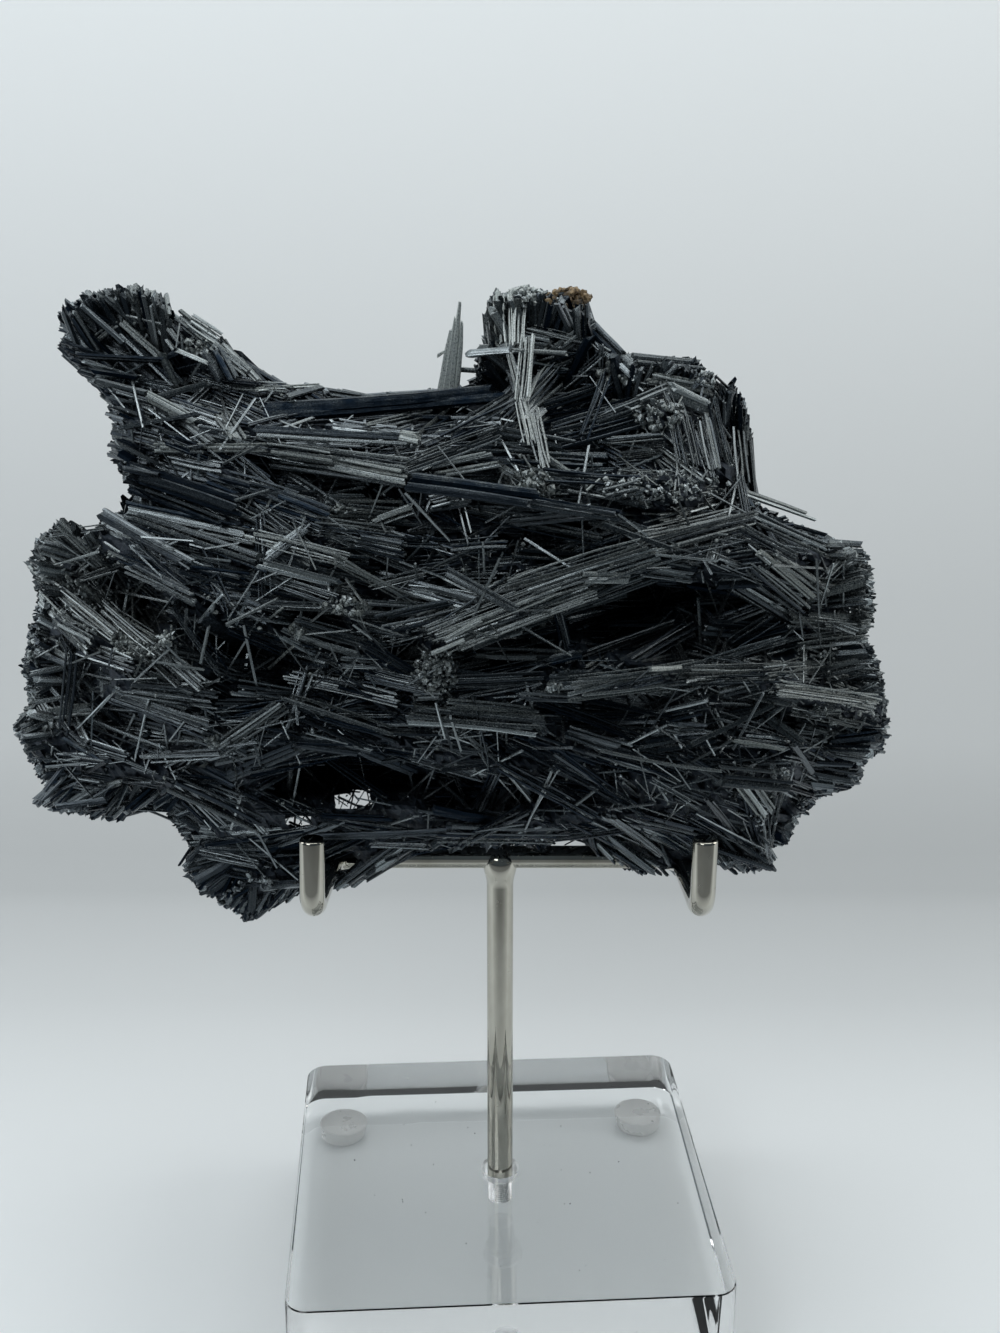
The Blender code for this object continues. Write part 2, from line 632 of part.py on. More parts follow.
def keep_outer_skin(thing):
    """Drops the skins of gaps sealed inside the mass and of chips that touch nothing."""
    bm = bmesh.new()
    bm.from_mesh(thing.data)
    islands = []
    left = set(bm.verts)
    while left:
        seed = left.pop()
        island = {seed}
        edge_of_island = [seed]
        while edge_of_island:
            vert = edge_of_island.pop()
            for edge in vert.link_edges:
                other = edge.other_vert(vert)
                if other in left:
                    left.remove(other)
                    island.add(other)
                    edge_of_island.append(other)
        islands.append(island)
    islands.sort(key=len)
    spare = [vert for island in islands[:-1] for vert in island]
    bmesh.ops.delete(bm, geom=spare, context="VERTS")
    bm.to_mesh(thing.data)
    bm.free()


def make_cluster(parts, clearances, material):
    rng = random.Random(SEED)
    lumps = new_collection("cluster_lumps", hidden=True)
    hollows = new_collection("cluster_hollows", hidden=True)
    crystals = new_collection("cluster_crystals", hidden=True)
    add_core(lumps, rng)
    for name, (place, depth, half_sizes) in HOLLOWS.items():
        add_lump(hollows, "hollow_" + name, seen_at(*place, depth), half_sizes, 0, rng)
    add_bundles(crystals, rng, -1)
    add_bundles(crystals, rng, 1)
    add_sprays(crystals, rng)
    add_single_crystals(crystals, rng)
    for name, (place, depth, half_sizes) in KNOTS.items():
        add_lump(crystals, name, seen_at(*place, depth), half_sizes, 0, rng, rough=0.25)

    core = add_lump(parts, "stibnite_cluster", seen_at(480, 640, 0), (30, 16, 26), 0, rng)
    core.hide_render = False
    core.display_type = "TEXTURED"
    boolean(core, "UNION", lumps)
    boolean(core, "DIFFERENCE", hollows)
    boolean(core, "UNION", crystals)
    boolean(core, "DIFFERENCE", clearances)
    bpy.context.view_layer.update()
    fused = evaluated_mesh(core)
    core.modifiers.clear()
    core.data = fused
    core.data.materials.clear()
    core.data.materials.append(material)
    keep_outer_skin(core)
    slivers = core.modifiers.new("slivers", "DECIMATE")
    slivers.ratio = KEPT_SHARE
    slivers.use_collapse_triangulate = True
    for helper in list(lumps.objects) + list(hollows.objects) + list(crystals.objects):
        bpy.data.objects.remove(helper)
    return core


def centre_over_origin(parts, stand):
    """Moves everything so that the middle of the bounding box is over the origin."""
    bpy.context.view_layer.update()
    corners = [part.matrix_world @ Vector(corner) for part in parts for corner in part.bound_box]
    low_x, high_x = min(c.x for c in corners), max(c.x for c in corners)
    low_y, high_y = min(c.y for c in corners), max(c.y for c in corners)
    stand.location = (-(low_x + high_x) / 2, -(low_y + high_y) / 2, 0.0)


def main():
    clear_scene()
    parts = new_collection("stibnite_specimen")
    cutters = new_collection("cutters")
    acrylic = principled("clear_acrylic", (0.93, 0.95, 0.95), 0.03, transmission=1.0, ior=1.49)
    bumper = principled("clear_bumper", (0.88, 0.88, 0.86), 0.25, transmission=0.8, ior=1.45)
    chrome = principled("chrome", (0.62, 0.6, 0.57), 0.12, metallic=1.0)
    stibnite = principled("stibnite", (0.045, 0.05, 0.06), 0.35, metallic=0.7)

    made = [make_block(parts, cutters, acrylic)]
    made += make_feet(parts, bumper)
    made.append(make_post(parts, cutters, chrome))
    made.append(make_rod("cradle", rod_path(), ROD_RADIUS, parts, chrome))
    clearances = new_collection("clearances", hidden=True)
    make_rod("cradle_clearance", rod_path(), ROD_RADIUS + TOUCH_GAP, clearances, guide=True)
    bead = [Vector((0, 0, BLOCK_TOP)), Vector((0, 0, ROD_HEIGHT + BEAD_ABOVE_ROD + TOUCH_GAP))]
    make_rod("bead_clearance", bead, WELD_RADIUS + TOUCH_GAP, clearances, guide=True)
    made.append(make_cluster(parts, clearances, stibnite))

    stand = bpy.data.objects.new("stand_place", None)
    parts.objects.link(stand)
    for thing in made + list(cutters.objects) + list(clearances.objects):
        thing.parent = stand
    centre_over_origin(made, stand)


main()
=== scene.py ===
# Stibnite cluster resting on a chrome cradle over a clear block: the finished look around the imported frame.
# Metres, +Z up, +Y away from the viewer. Crystal sizes are in millimetres, and picture points in pixels.
import math

import bmesh
import bpy
import numpy as np
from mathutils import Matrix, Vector
from mathutils.bvhtree import BVHTree


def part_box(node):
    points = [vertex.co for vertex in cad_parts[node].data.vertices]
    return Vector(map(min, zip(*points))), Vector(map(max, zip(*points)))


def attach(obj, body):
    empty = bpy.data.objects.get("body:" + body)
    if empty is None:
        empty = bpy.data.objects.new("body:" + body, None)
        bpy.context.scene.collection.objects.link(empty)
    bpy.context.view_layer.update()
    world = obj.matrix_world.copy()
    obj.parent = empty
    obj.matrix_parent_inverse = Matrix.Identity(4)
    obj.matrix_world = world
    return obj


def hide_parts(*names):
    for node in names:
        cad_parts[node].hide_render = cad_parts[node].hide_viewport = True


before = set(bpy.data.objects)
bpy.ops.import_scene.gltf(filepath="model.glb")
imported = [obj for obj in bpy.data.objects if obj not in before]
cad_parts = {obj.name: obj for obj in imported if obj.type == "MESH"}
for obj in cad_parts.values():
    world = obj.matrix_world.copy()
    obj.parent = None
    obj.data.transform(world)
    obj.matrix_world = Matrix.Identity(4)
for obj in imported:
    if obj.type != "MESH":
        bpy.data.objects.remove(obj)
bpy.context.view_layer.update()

mm = 0.001

# The camera stands where the photograph was taken from, so a picture point names a line of sight.
sight = {
    "back": 0.2567,        # eye in front of the post
    "height": 0.20075,     # eye over the table
    "pitch": 17.1,         # degrees down
    "focus": 1575.0,       # pixels
    "middle": (500.0, 666.5),
    "picture": (1000, 1333),
    "sensor": 36.0,
}

postLow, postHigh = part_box("post")
postX = (postLow.x + postHigh.x) / 2
postY = (postLow.y + postHigh.y) / 2
eye = np.array((postX, postY - sight["back"], sight["height"]))
pitchAngle = math.radians(sight["pitch"])


def seenAt(uv, depth):
    # points in space seen at the picture points uv, on planes depth mm behind the post
    uv = np.atleast_2d(np.asarray(uv, float))
    across = (uv[:, 0] - sight["middle"][0]) / sight["focus"]
    down = (uv[:, 1] - sight["middle"][1]) / sight["focus"]
    line = np.stack((
        across,
        math.cos(pitchAngle) - down * math.sin(pitchAngle),
        -math.sin(pitchAngle) - down * math.cos(pitchAngle),
    ), axis=1)
    reach = (postY + np.asarray(depth) * mm - eye[1]) / line[:, 1]
    return eye + line * reach[:, None]


def makeCamera():
    lens = bpy.data.cameras.new("camera")
    lens.sensor_width = sight["sensor"]
    lens.lens = sight["focus"] * sight["sensor"] / max(sight["picture"])
    lens.clip_start = 0.01
    camera = bpy.data.objects.new("camera", lens)
    camera.location = eye
    camera.rotation_euler = (math.pi / 2 - pitchAngle, 0.0, 0.0)
    bpy.context.scene.collection.objects.link(camera)
    bpy.context.scene.camera = camera


makeCamera()
print("camera placed at", [round(float(c), 4) for c in eye])


# Node and mesh helpers

def startMaterial(name):
    material = bpy.data.materials.new(name)
    material.use_nodes = True
    return material, material.node_tree, material.node_tree.nodes["Principled BSDF"]


def addNode(tree, kind, values=None, **settings):
    node = tree.nodes.new(kind)
    for key, value in settings.items():
        setattr(node, key, value)
    for key, value in (values or {}).items():
        node.inputs[key].default_value = value
    return node


def readAttribute(tree, name, output):
    return addNode(tree, "ShaderNodeAttribute", attribute_name=name).outputs[output]


def stretchedNoise(tree, vector, stretch, scale, detail=3.0, roughness=0.55):
    # noise drawn out along one or two directions
    mapping = addNode(tree, "ShaderNodeMapping", {"Scale": stretch})
    tree.links.new(vector, mapping.inputs["Vector"])
    noise = addNode(tree, "ShaderNodeTexNoise", {"Scale": scale, "Detail": detail, "Roughness": roughness})
    tree.links.new(mapping.outputs["Vector"], noise.inputs["Vector"])
    return noise.outputs["Fac"]


def calc(tree, operation, first, second, clamp=False):
    node = addNode(tree, "ShaderNodeMath", operation=operation, use_clamp=clamp)
    for socket, value in zip(node.inputs, (first, second)):
        if isinstance(value, (int, float)):
            socket.default_value = value
        else:
            tree.links.new(value, socket)
    return node.outputs[0]


def remap(tree, value, low, high, to=(0.0, 1.0)):
    node = addNode(tree, "ShaderNodeMapRange",
                   {"From Min": low, "From Max": high, "To Min": to[0], "To Max": to[1]})
    tree.links.new(value, node.inputs["Value"])
    return node.outputs["Result"]


def blendColours(tree, share, first, second):
    node = addNode(tree, "ShaderNodeMix", data_type="RGBA")
    tree.links.new(share, node.inputs["Factor"])
    for socket, colour in zip((node.inputs["A"], node.inputs["B"]), (first, second)):
        if isinstance(colour, tuple):
            socket.default_value = (*colour, 1.0)
        else:
            tree.links.new(colour, socket)
    return node.outputs["Result"]


def unit(vectors):
    return vectors / np.maximum(np.linalg.norm(vectors, axis=-1, keepdims=True), 1e-12)


def meshFrom(name, points, triangles, material, marks=None, smooth=False):
    # one object from arrays; marks are extra values kept on its points
    mesh = bpy.data.meshes.new(name)
    mesh.vertices.add(len(points))
    mesh.vertices.foreach_set("co", points.astype(np.float32).ravel())
    mesh.loops.add(triangles.size)
    mesh.loops.foreach_set("vertex_index", triangles.astype(np.int32).ravel())
    mesh.polygons.add(len(triangles))
    mesh.polygons.foreach_set("loop_start", np.arange(0, triangles.size, 3, dtype=np.int32))
    mesh.update(calc_edges=True)
    for mark, values in (marks or {}).items():
        kind, field = ("FLOAT_VECTOR", "vector") if values.ndim == 2 else ("FLOAT", "value")
        mesh.attributes.new(mark, kind, "POINT").data.foreach_set(field, values.astype(np.float32).ravel())
    if smooth:
        mesh.shade_smooth()
    else:
        mesh.shade_flat()
    mesh.materials.append(material)
    made = bpy.data.objects.new(name, mesh)
    bpy.context.scene.collection.objects.link(made)
    return made


def joinChunks(name, chunks, material):
    # chunks are (points, triangles, grain, tone, dust)
    points, triangles, grain, tone, dust = [], [], [], [], []
    count = 0
    for chunk in chunks:
        points.append(chunk[0])
        triangles.append(chunk[1] + count)
        grain.append(chunk[2])
        tone.append(chunk[3])
        dust.append(chunk[4])
        count += len(chunk[0])
    marks = {"grain": np.concatenate(grain), "tone": np.concatenate(tone), "dust": np.concatenate(dust)}
    made = meshFrom(name, np.concatenate(points), np.concatenate(triangles), material, marks)
    print(name, len(made.data.polygons), "triangles")
    return made


# The form of the mass: its outline in the picture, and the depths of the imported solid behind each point

form = {
    "outline": [
        (57, 340), (66, 330), (60, 305), (72, 301), (85, 292), (100, 293), (114, 288), (135, 285),
        (150, 291), (164, 298), (171, 314), (193, 320), (220, 336), (245, 366), (264, 381), (290, 389),
        (320, 391), (328, 396), (342, 391), (352, 397), (440, 389), (476, 385), (476, 356), (485, 349),
        (488, 306), (495, 289), (504, 293), (520, 288), (550, 292), (581, 296), (584, 316), (602, 338),
        (622, 353), (698, 360), (714, 375), (722, 389), (733, 379), (743, 396), (748, 428), (745, 462),
        (750, 497), (780, 517), (815, 533), (845, 545), (868, 553), (874, 570), (876, 618), (864, 636),
        (877, 655), (885, 685), (890, 706), (886, 745), (868, 762), (860, 768), (860, 784), (822, 797),
        (800, 820), (790, 842), (772, 850), (775, 870), (745, 873), (715, 862), (690, 877), (652, 876),
        (620, 865), (560, 846), (500, 850), (440, 850), (380, 860), (362, 879), (325, 895), (298, 896),
        (272, 906), (245, 921), (216, 901), (190, 886), (182, 868), (199, 852), (186, 842), (172, 825),
        (158, 806), (135, 813), (110, 819), (60, 813), (33, 804), (46, 794), (36, 775), (13, 731),
        (28, 700), (21, 662), (30, 622), (38, 600), (28, 561), (36, 540), (58, 519), (74, 528),
        (92, 533), (99, 516), (124, 508), (124, 498), (134, 497), (123, 478), (110, 455), (112, 425),
        (106, 393), (72, 362),
    ],
    "pxPerMm": 6.0,
    "roundedOver": 12.0,   # mm in from the outline over which the skin turns from the side to the front
    "grid": (0, 906, 270, 936, 6),   # picture points where the solid is sounded: u, v, step in pixels
    "reach": 60.0,         # mm before and behind the post
    "spreading": 12,       # rounds
    "smoothing": 2,
    "fieldU": (10, 900),   # where bundles are laid out, in pixels
    "fieldV": (280, 930),
    "scatterU": (10, 895),  # where needles and loose grains are strewn
    "scatterV": (285, 920),
}
outline = np.array(form["outline"], float)


def roomInside(uv):
    # mm inside the outline, below zero outside it
    start, end = outline, np.roll(outline, -1, axis=0)
    side = end - start
    away = uv[:, None, :] - start[None, :, :]
    share = np.clip((away * side).sum(-1) / (side * side).sum(-1), 0, 1)
    nearest = np.linalg.norm(away - side * share[..., None], axis=-1).min(axis=1)
    v = uv[:, 1:2]
    crosses = (start[:, 1] > v) != (end[:, 1] > v)
    drop = np.where(side[:, 1] == 0, 1e-9, side[:, 1])
    at = side[:, 0] * (v - start[:, 1]) / drop + start[:, 0]
    inside = (crosses & (uv[:, 0:1] < at)).sum(axis=1) % 2 == 1
    return nearest / form["pxPerMm"] * np.where(inside, 1, -1)


def treeOfSolid():
    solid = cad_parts["stibnite_cluster"].data
    return BVHTree.FromPolygons([v.co for v in solid.vertices], [tuple(p.vertices) for p in solid.polygons])


solidTree = treeOfSolid()


def touchesMass(points, slack):
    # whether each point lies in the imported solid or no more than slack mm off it
    kept = []
    for point in points:
        spot, normal, _, away = solidTree.find_nearest(Vector(point))
        kept.append(away <= slack * mm or (Vector(point) - spot).dot(normal) < 0)
    return np.array(kept, dtype=bool)


def soundSolid():
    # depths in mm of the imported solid's front and rear on the grid, carried on a little round it
    uLow, uHigh, vLow, vHigh, step = form["grid"]
    us, vs = np.arange(uLow, uHigh, step), np.arange(vLow, vHigh, step)
    u, v = np.meshgrid(us, vs)
    uv = np.stack((u.ravel(), v.ravel()), axis=1)
    near, far = seenAt(uv, -form["reach"]), seenAt(uv, form["reach"])
    skins = np.full((2, len(uv)), np.nan)
    for i, (a, b) in enumerate(zip(near, far)):
        for side, start, way in ((0, a, b - a), (1, b, a - b)):
            hit = solidTree.ray_cast(Vector(start), Vector(way))[0]
            if hit is not None:
                skins[side, i] = (hit.y - postY) / mm
    skins = skins.reshape(2, len(vs), len(us))
    for _ in range(form["spreading"]):  # to the empty points beside known ones
        padded = np.pad(skins, ((0, 0), (1, 1), (1, 1)), constant_values=np.nan)
        around = np.stack([padded[:, 1 + i:1 + i + len(vs), 1 + j:1 + j + len(us)]
                           for i in (-1, 0, 1) for j in (-1, 0, 1)])
        known = ~np.isnan(around)
        mean = np.where(known, around, 0).sum(0) / np.maximum(known.sum(0), 1)
        skins = np.where(np.isnan(skins) & known.any(0), mean, skins)
    skins = np.nan_to_num(skins)
    for _ in range(form["smoothing"]):
        padded = np.pad(skins, ((0, 0), (1, 1), (1, 1)), mode="edge")
        skins = sum(padded[:, 1 + i:1 + i + len(vs), 1 + j:1 + j + len(us)]
                    for i in (-1, 0, 1) for j in (-1, 0, 1)) / 9
    return skins


solidSkins = soundSolid()
print("solid sounded, depths", round(float(solidSkins[0].min()), 1), "to",
      round(float(solidSkins[1].max()), 1))


def skinAt(uv, side, lift=0.0):
    # depth in mm of the solid's front (side -1) or rear (side 1), lift mm further out
    uLow, _, vLow, _, step = form["grid"]
    skin = solidSkins[0 if side < 0 else 1]
    x = np.clip((uv[:, 0] - uLow) / step, 0, skin.shape[1] - 1.001)
    y = np.clip((uv[:, 1] - vLow) / step, 0, skin.shape[0] - 1.001)
    i, j = y.astype(int), x.astype(int)
    dy, dx = y - i, x - j
    depth = (skin[i, j] * (1 - dy) * (1 - dx) + skin[i, j + 1] * (1 - dy) * dx
             + skin[i + 1, j] * dy * (1 - dx) + skin[i + 1, j + 1] * dy * dx)
    return depth + side * lift


# Crystals on the front, by where they start and end in the picture:
# how proud of the mass they stand, width, thickness (mm), strands side by side, dust;
# the dust also sets the tone, and a dust below zero is painted shade that makes the crystal near black
namedCrystals = {
    "plumeKeel": (64, 332, 114, 386, -1.0, 2.4, 2.0, 4, 0.0),
    "plumeKeelInner": (74, 334, 138, 388, 0.3, 2.6, 1.6, 3, 0.0),
    "plumeDarkOne": (88, 324, 152, 385, 0.8, 2.6, 1.3, 2, 0.0),
    "plumeDarkTwo": (104, 330, 170, 387, 1.2, 2.6, 1.2, 2, 0.05),
    "plumeDarkThree": (122, 330, 182, 388, 2.2, 2.2, 1.2, 3, 0.1),
    "plumeArchUp": (88, 346, 118, 322, 2.6, 1.4, 1.0, 4, 0.6),
    "plumeArchDown": (118, 322, 162, 362, 2.8, 1.8, 1.1, 4, 0.6),
    "plumeArchEnd": (160, 352, 178, 387, 2.0, 1.6, 1.0, 3, 0.4),
    "plumeTopOne": (120, 314, 115, 288, 0.0, 2.0, 1.4, 4, 0.3),
    "plumeTopTwo": (131, 314, 134, 285, 0.4, 2.2, 1.6, 4, 0.3),
    "plumeTopThree": (142, 316, 149, 291, 0.2, 1.8, 1.2, 4, 0.3),
    "plumeTopBlock": (161, 318, 158, 296, 0.3, 3.0, 1.8, 4, 0.6),
    "plumeLeftOne": (94, 320, 61, 306, 0.0, 2.2, 1.6, 4, 0.1),
    "plumeLeftTwo": (104, 310, 84, 292, 0.0, 2.2, 1.6, 4, 0.2),
    "plumeLeftThree": (112, 306, 99, 291, 0.5, 1.8, 1.2, 3, 0.2),
    "plumeLeftFour": (86, 336, 58, 328, 0.3, 1.8, 1.4, 3, 0.0),
    "plumeRightOne": (155, 318, 178, 346, 0.8, 2.0, 1.2, 4, 0.3),
    "plumeRightTwo": (176, 314, 206, 338, 0.2, 1.8, 1.2, 4, 0.4),
    "plumeKnob": (188, 322, 219, 343, 0.6, 2.4, 1.6, 5, 0.6),
    "slopeOne": (211, 345, 248, 374, 0.4, 1.4, 1.1, 4, 0.4),
    "slopeTwo": (222, 344, 260, 382, 0.0, 1.4, 1.1, 4, 0.4),
    "slopeDarkOne": (217, 346, 236, 380, 1.0, 1.8, 1.0, 2, 0.0),
    "slopeDarkTwo": (203, 350, 222, 381, 1.0, 1.6, 1.0, 2, 0.1),
    "plumeBright": (172, 350, 206, 364, 2.4, 1.6, 1.2, 3, 0.8),
    "plumeBaseOne": (158, 396, 212, 381, 1.8, 1.6, 1.0, 3, 0.2),
    "plumeBaseTwo": (176, 408, 219, 403, 2.2, 1.0, 0.7, 1, 0.5),
    "plumeBaseThree": (200, 383, 293, 388, 1.0, 1.6, 1.2, 4, 0.3),
    # painted shade: the dust below zero takes these crystals' tone down to near black
    "saddleSlab": (262, 413, 505, 393, 1.0, 3.2, 1.6, 2, -0.3),
    "saddleSlabEdge": (345, 399, 474, 390, -0.5, 1.2, 1.0, 2, -0.2),
    "saddleEdge": (250, 391, 322, 386, 1.2, 0.8, 0.6, 3, 0.8),
    "saddleThin": (286, 397, 321, 387, 1.6, 1.2, 0.8, 1, 0.2),
    "saddleShadow": (300, 421, 470, 408, -1.0, 2.2, 1.4, 5, 0.0),
    "upperPrism": (253, 430, 414, 439, 2.6, 1.9, 1.6, 3, 0.12),
    "prismEnd": (400, 435, 421, 439, 2.9, 1.7, 1.2, 2, 0.9),
    "risingThin": (411, 441, 463, 398, 1.8, 0.8, 0.6, 1, 0.4),
    "risingFew": (282, 428, 324, 413, 1.4, 0.6, 0.5, 1, 0.3),
    "risingFewTwo": (364, 428, 440, 410, 1.2, 1.4, 0.8, 4, 0.3),
    "leftEdgeOne": (104, 396, 152, 412, 0.4, 2.0, 1.4, 4, 0.2),
    "leftEdgeTwo": (146, 395, 196, 422, 1.8, 1.6, 1.0, 3, 0.7),
    "leftEdgeThree": (108, 412, 162, 430, 0.6, 2.0, 1.4, 4, 0.1),
    "leftEdgeFour": (110, 430, 170, 447, 0.8, 2.2, 1.4, 4, 0.1),
    "leftEdgeFive": (109, 449, 156, 458, 0.6, 2.0, 1.4, 4, 0.1),
    "leftBladeOne": (166, 407, 213, 442, 1.4, 1.2, 0.8, 2, 0.3),
    "paleTwinOne": (211, 409, 237, 442, 1.8, 1.4, 0.9, 2, 0.5),
    "paleTwinTwo": (221, 410, 246, 444, 2.0, 1.6, 0.9, 2, 0.5),
    "bandEdgeLeft": (122, 452, 204, 449, 1.2, 1.4, 1.0, 3, 0.2),
    "bandEdge": (153, 447, 272, 447, 1.6, 1.3, 0.9, 3, 0.6),
    "flatBundle": (268, 455, 408, 474, 1.6, 4.2, 1.8, 8, 0.25),
    "flatBundleTop": (266, 447, 334, 457, 2.0, 1.6, 1.0, 3, 0.6),
    "flatBundleEnd": (328, 462, 406, 478, 2.2, 2.0, 1.1, 4, 0.6),
    "chip": (374, 475, 401, 482, 2.9, 1.2, 0.7, 1, 1.0),
    "fanOne": (118, 458, 252, 494, 0.8, 3.0, 1.5, 3, 0.0),
    "fanTwo": (122, 470, 242, 509, 1.2, 3.0, 1.5, 3, 0.0),
    "fanThree": (126, 482, 228, 521, 1.0, 2.6, 1.4, 3, 0.0),
    "fanFour": (136, 490, 192, 528, 1.0, 2.0, 1.2, 2, 0.05),
    "fanFive": (158, 460, 300, 500, 0.4, 2.8, 1.5, 4, 0.05),
    "fanSix": (204, 478, 330, 522, 0.2, 2.6, 1.5, 4, 0.0),
    "crossOne": (211, 480, 236, 495, 2.4, 0.7, 0.5, 1, 0.3),
    "crossTwo": (267, 506, 286, 477, 2.4, 0.5, 0.4, 1, 0.3),
    "crossThree": (234, 500, 269, 489, 2.2, 0.6, 0.4, 1, 0.3),
    "crossUpright": (227, 495, 224, 548, 2.6, 0.8, 0.5, 1, 0.1),
    "longDiagonal": (123, 509, 256, 537, 2.0, 2.6, 1.5, 3, 0.1),
    "longDiagonalTwo": (245, 533, 348, 560, 2.2, 2.2, 1.4, 7, 0.5),
    "longDiagonalThree": (330, 556, 423, 607, 2.2, 1.9, 1.3, 6, 0.7),
    "diagonalEdge": (101, 512, 193, 565, 1.4, 1.8, 1.2, 2, 0.1),
    "diagonalBelow": (129, 517, 268, 566, 1.6, 2.2, 1.3, 3, 0.1),
    "diagonalBelowTwo": (258, 562, 339, 583, 1.8, 1.5, 1.0, 3, 0.3),
    "diagonalBelowThree": (180, 566, 304, 602, 0.6, 2.4, 1.4, 5, 0.0),
    "brightThin": (176, 570, 207, 558, 3.0, 0.45, 0.35, 1, 1.0),
    "uprightBlade": (257, 559, 254, 604, 2.8, 1.2, 0.6, 1, 0.3),
    "bladeRise": (375, 522, 413, 508, 1.6, 1.9, 1.1, 3, 0.5),
    "bladeRiseTwo": (410, 509, 472, 500, 0.8, 1.6, 1.1, 3, 0.2),
    "bladeShort": (279, 494, 333, 515, 1.4, 1.6, 1.0, 2, 0.1),
    "bigBlade": (400, 483, 536, 502, 4.2, 2.8, 1.5, 2, 0.0),
    "bigBladeTwo": (520, 500, 622, 516, 3.8, 2.2, 1.3, 3, 0.05),
    "bigBladeTip": (602, 516, 682, 545, 3.4, 2.6, 1.1, 3, 0.25),
    "underBlade": (462, 509, 604, 541, 1.0, 2.0, 1.3, 4, 0.1),
    "risingOne": (378, 482, 458, 451, 1.0, 1.6, 1.1, 4, 0.2),
    "risingTwo": (398, 470, 500, 431, 0.8, 2.2, 1.3, 6, 0.25),
    "risingThree": (430, 466, 492, 453, 1.6, 1.2, 0.9, 2, 0.5),
    "risingFour": (436, 475, 500, 464, 2.0, 1.0, 0.8, 2, 0.6),
    "risingFive": (418, 450, 520, 401, 0.6, 2.2, 1.3, 6, 0.2),
    "risingSix": (452, 432, 516, 392, 0.6, 1.6, 1.1, 4, 0.2),
    "shelf": (472, 353, 516, 349, 0.6, 2.2, 1.6, 2, 0.2),
    "bar": (443, 367, 498, 371, -0.5, 0.9, 0.8, 1, 0.3),
    "towerFibreOne": (489, 348, 486, 304, 3.0, 1.8, 1.3, 6, 1.1),
    "towerFibreTwo": (498, 348, 496, 290, 3.2, 1.8, 1.3, 6, 1.1),
    "towerFibreThree": (510, 345, 508, 292, 2.0, 1.8, 1.3, 6, 1.0),
    "towerFibreFour": (518, 346, 521, 298, 1.8, 1.8, 1.3, 6, 0.8),
    "splinterTop": (528, 336, 522, 402, 3.4, 2.2, 1.6, 9, 0.75),
    "splinterLow": (521, 398, 531, 442, 3.8, 1.9, 1.5, 8, 0.85),
    "splinterFoot": (534, 410, 546, 468, 3.0, 1.5, 1.2, 6, 0.6),
    "splinterBranch": (508, 350, 519, 394, 3.2, 0.9, 0.7, 4, 0.6),
    "splinterBranchTwo": (541, 371, 526, 404, 3.4, 0.9, 0.7, 2, 0.5),
    "towerBarTwo": (511, 351, 567, 354, 3.4, 0.9, 0.7, 1, 0.5),
    "towerCrossOne": (536, 373, 579, 348, 2.4, 0.9, 0.7, 2, 0.4),
    "towerCrossTwo": (548, 400, 606, 352, 1.2, 1.6, 1.1, 4, 0.2),
    "towerCrossThree": (556, 350, 596, 322, 1.2, 1.8, 1.2, 4, 0.3),
    "slopeBladeOne": (582, 322, 638, 378, 0.6, 2.4, 1.6, 2, 0.0),
    "slopeBladeTwo": (590, 326, 624, 360, 0.2, 2.2, 1.6, 2, 0.0),
    "slopeBladeThree": (560, 322, 612, 352, 1.4, 1.6, 1.1, 4, 0.2),
    "topSlab": (627, 358, 702, 365, 0.2, 2.4, 1.6, 2, 0.0),
    "topPale": (648, 377, 714, 390, 1.4, 1.8, 1.2, 5, 0.6),
    "topFacet": (666, 388, 712, 410, 2.0, 2.0, 1.1, 2, 0.5),
    "topFacetTwo": (638, 399, 668, 386, 1.8, 1.6, 1.0, 2, 0.4),
    "darkRiseOne": (540, 409, 623, 381, 0.6, 2.2, 1.4, 4, 0.0),
    "darkRiseTwo": (546, 428, 636, 402, 0.2, 2.2, 1.4, 4, 0.0),
    "darkRiseThree": (556, 444, 642, 420, -0.6, 2.0, 1.3, 4, 0.0),
    "cavityBlade": (545, 459, 588, 488, 0.8, 1.2, 0.7, 1, 0.5),
    "cavityNeedle": (587, 491, 606, 474, 1.6, 0.45, 0.4, 1, 1.0),
    "columnOne": (719, 391, 738, 444, 1.0, 2.4, 1.6, 7, 0.15),
    "columnTwo": (728, 388, 740, 438, 0.2, 2.0, 1.6, 6, 0.15),
    "columnThree": (736, 430, 741, 484, 0.6, 2.2, 1.6, 7, 0.3),
    "columnFour": (709, 398, 722, 456, 1.4, 2.2, 1.5, 6, 0.1),
    "columnFive": (720, 442, 740, 503, 1.2, 2.4, 1.5, 7, 0.3),
    "columnLeftOne": (686, 416, 699, 470, 1.2, 1.8, 1.2, 5, 0.2),
    "columnLeftTwo": (704, 414, 716, 470, 1.2, 1.8, 1.2, 5, 0.3),
    "spur": (731, 490, 813, 519, -0.4, 1.8, 1.2, 2, 0.45),
    "shoulder": (748, 514, 828, 550, 0.8, 2.4, 1.6, 8, 0.3),
    "shoulderTwo": (738, 528, 796, 560, 1.2, 2.2, 1.5, 6, 0.2),
    "ribOne": (418, 622, 545, 573, 1.6, 2.8, 1.4, 9, 0.45),
    "ribTwo": (428, 636, 566, 583, 1.4, 2.8, 1.4, 9, 0.4),
    "ribThree": (446, 648, 596, 590, 1.6, 2.8, 1.4, 9, 0.45),
    "ribFour": (500, 592, 648, 546, 2.0, 2.8, 1.4, 9, 0.45),
    "ribFive": (530, 598, 660, 556, 1.4, 2.6, 1.4, 8, 0.35),
    "ribSix": (470, 642, 626, 588, 1.2, 2.6, 1.4, 8, 0.35),
    "ribSeven": (600, 576, 752, 533, 1.2, 2.8, 1.4, 8, 0.15),
    "ribEight": (620, 566, 756, 546, 0.8, 2.6, 1.4, 7, 0.05),
    "ribNine": (583, 576, 633, 577, 2.4, 1.6, 1.0, 2, 0.5),
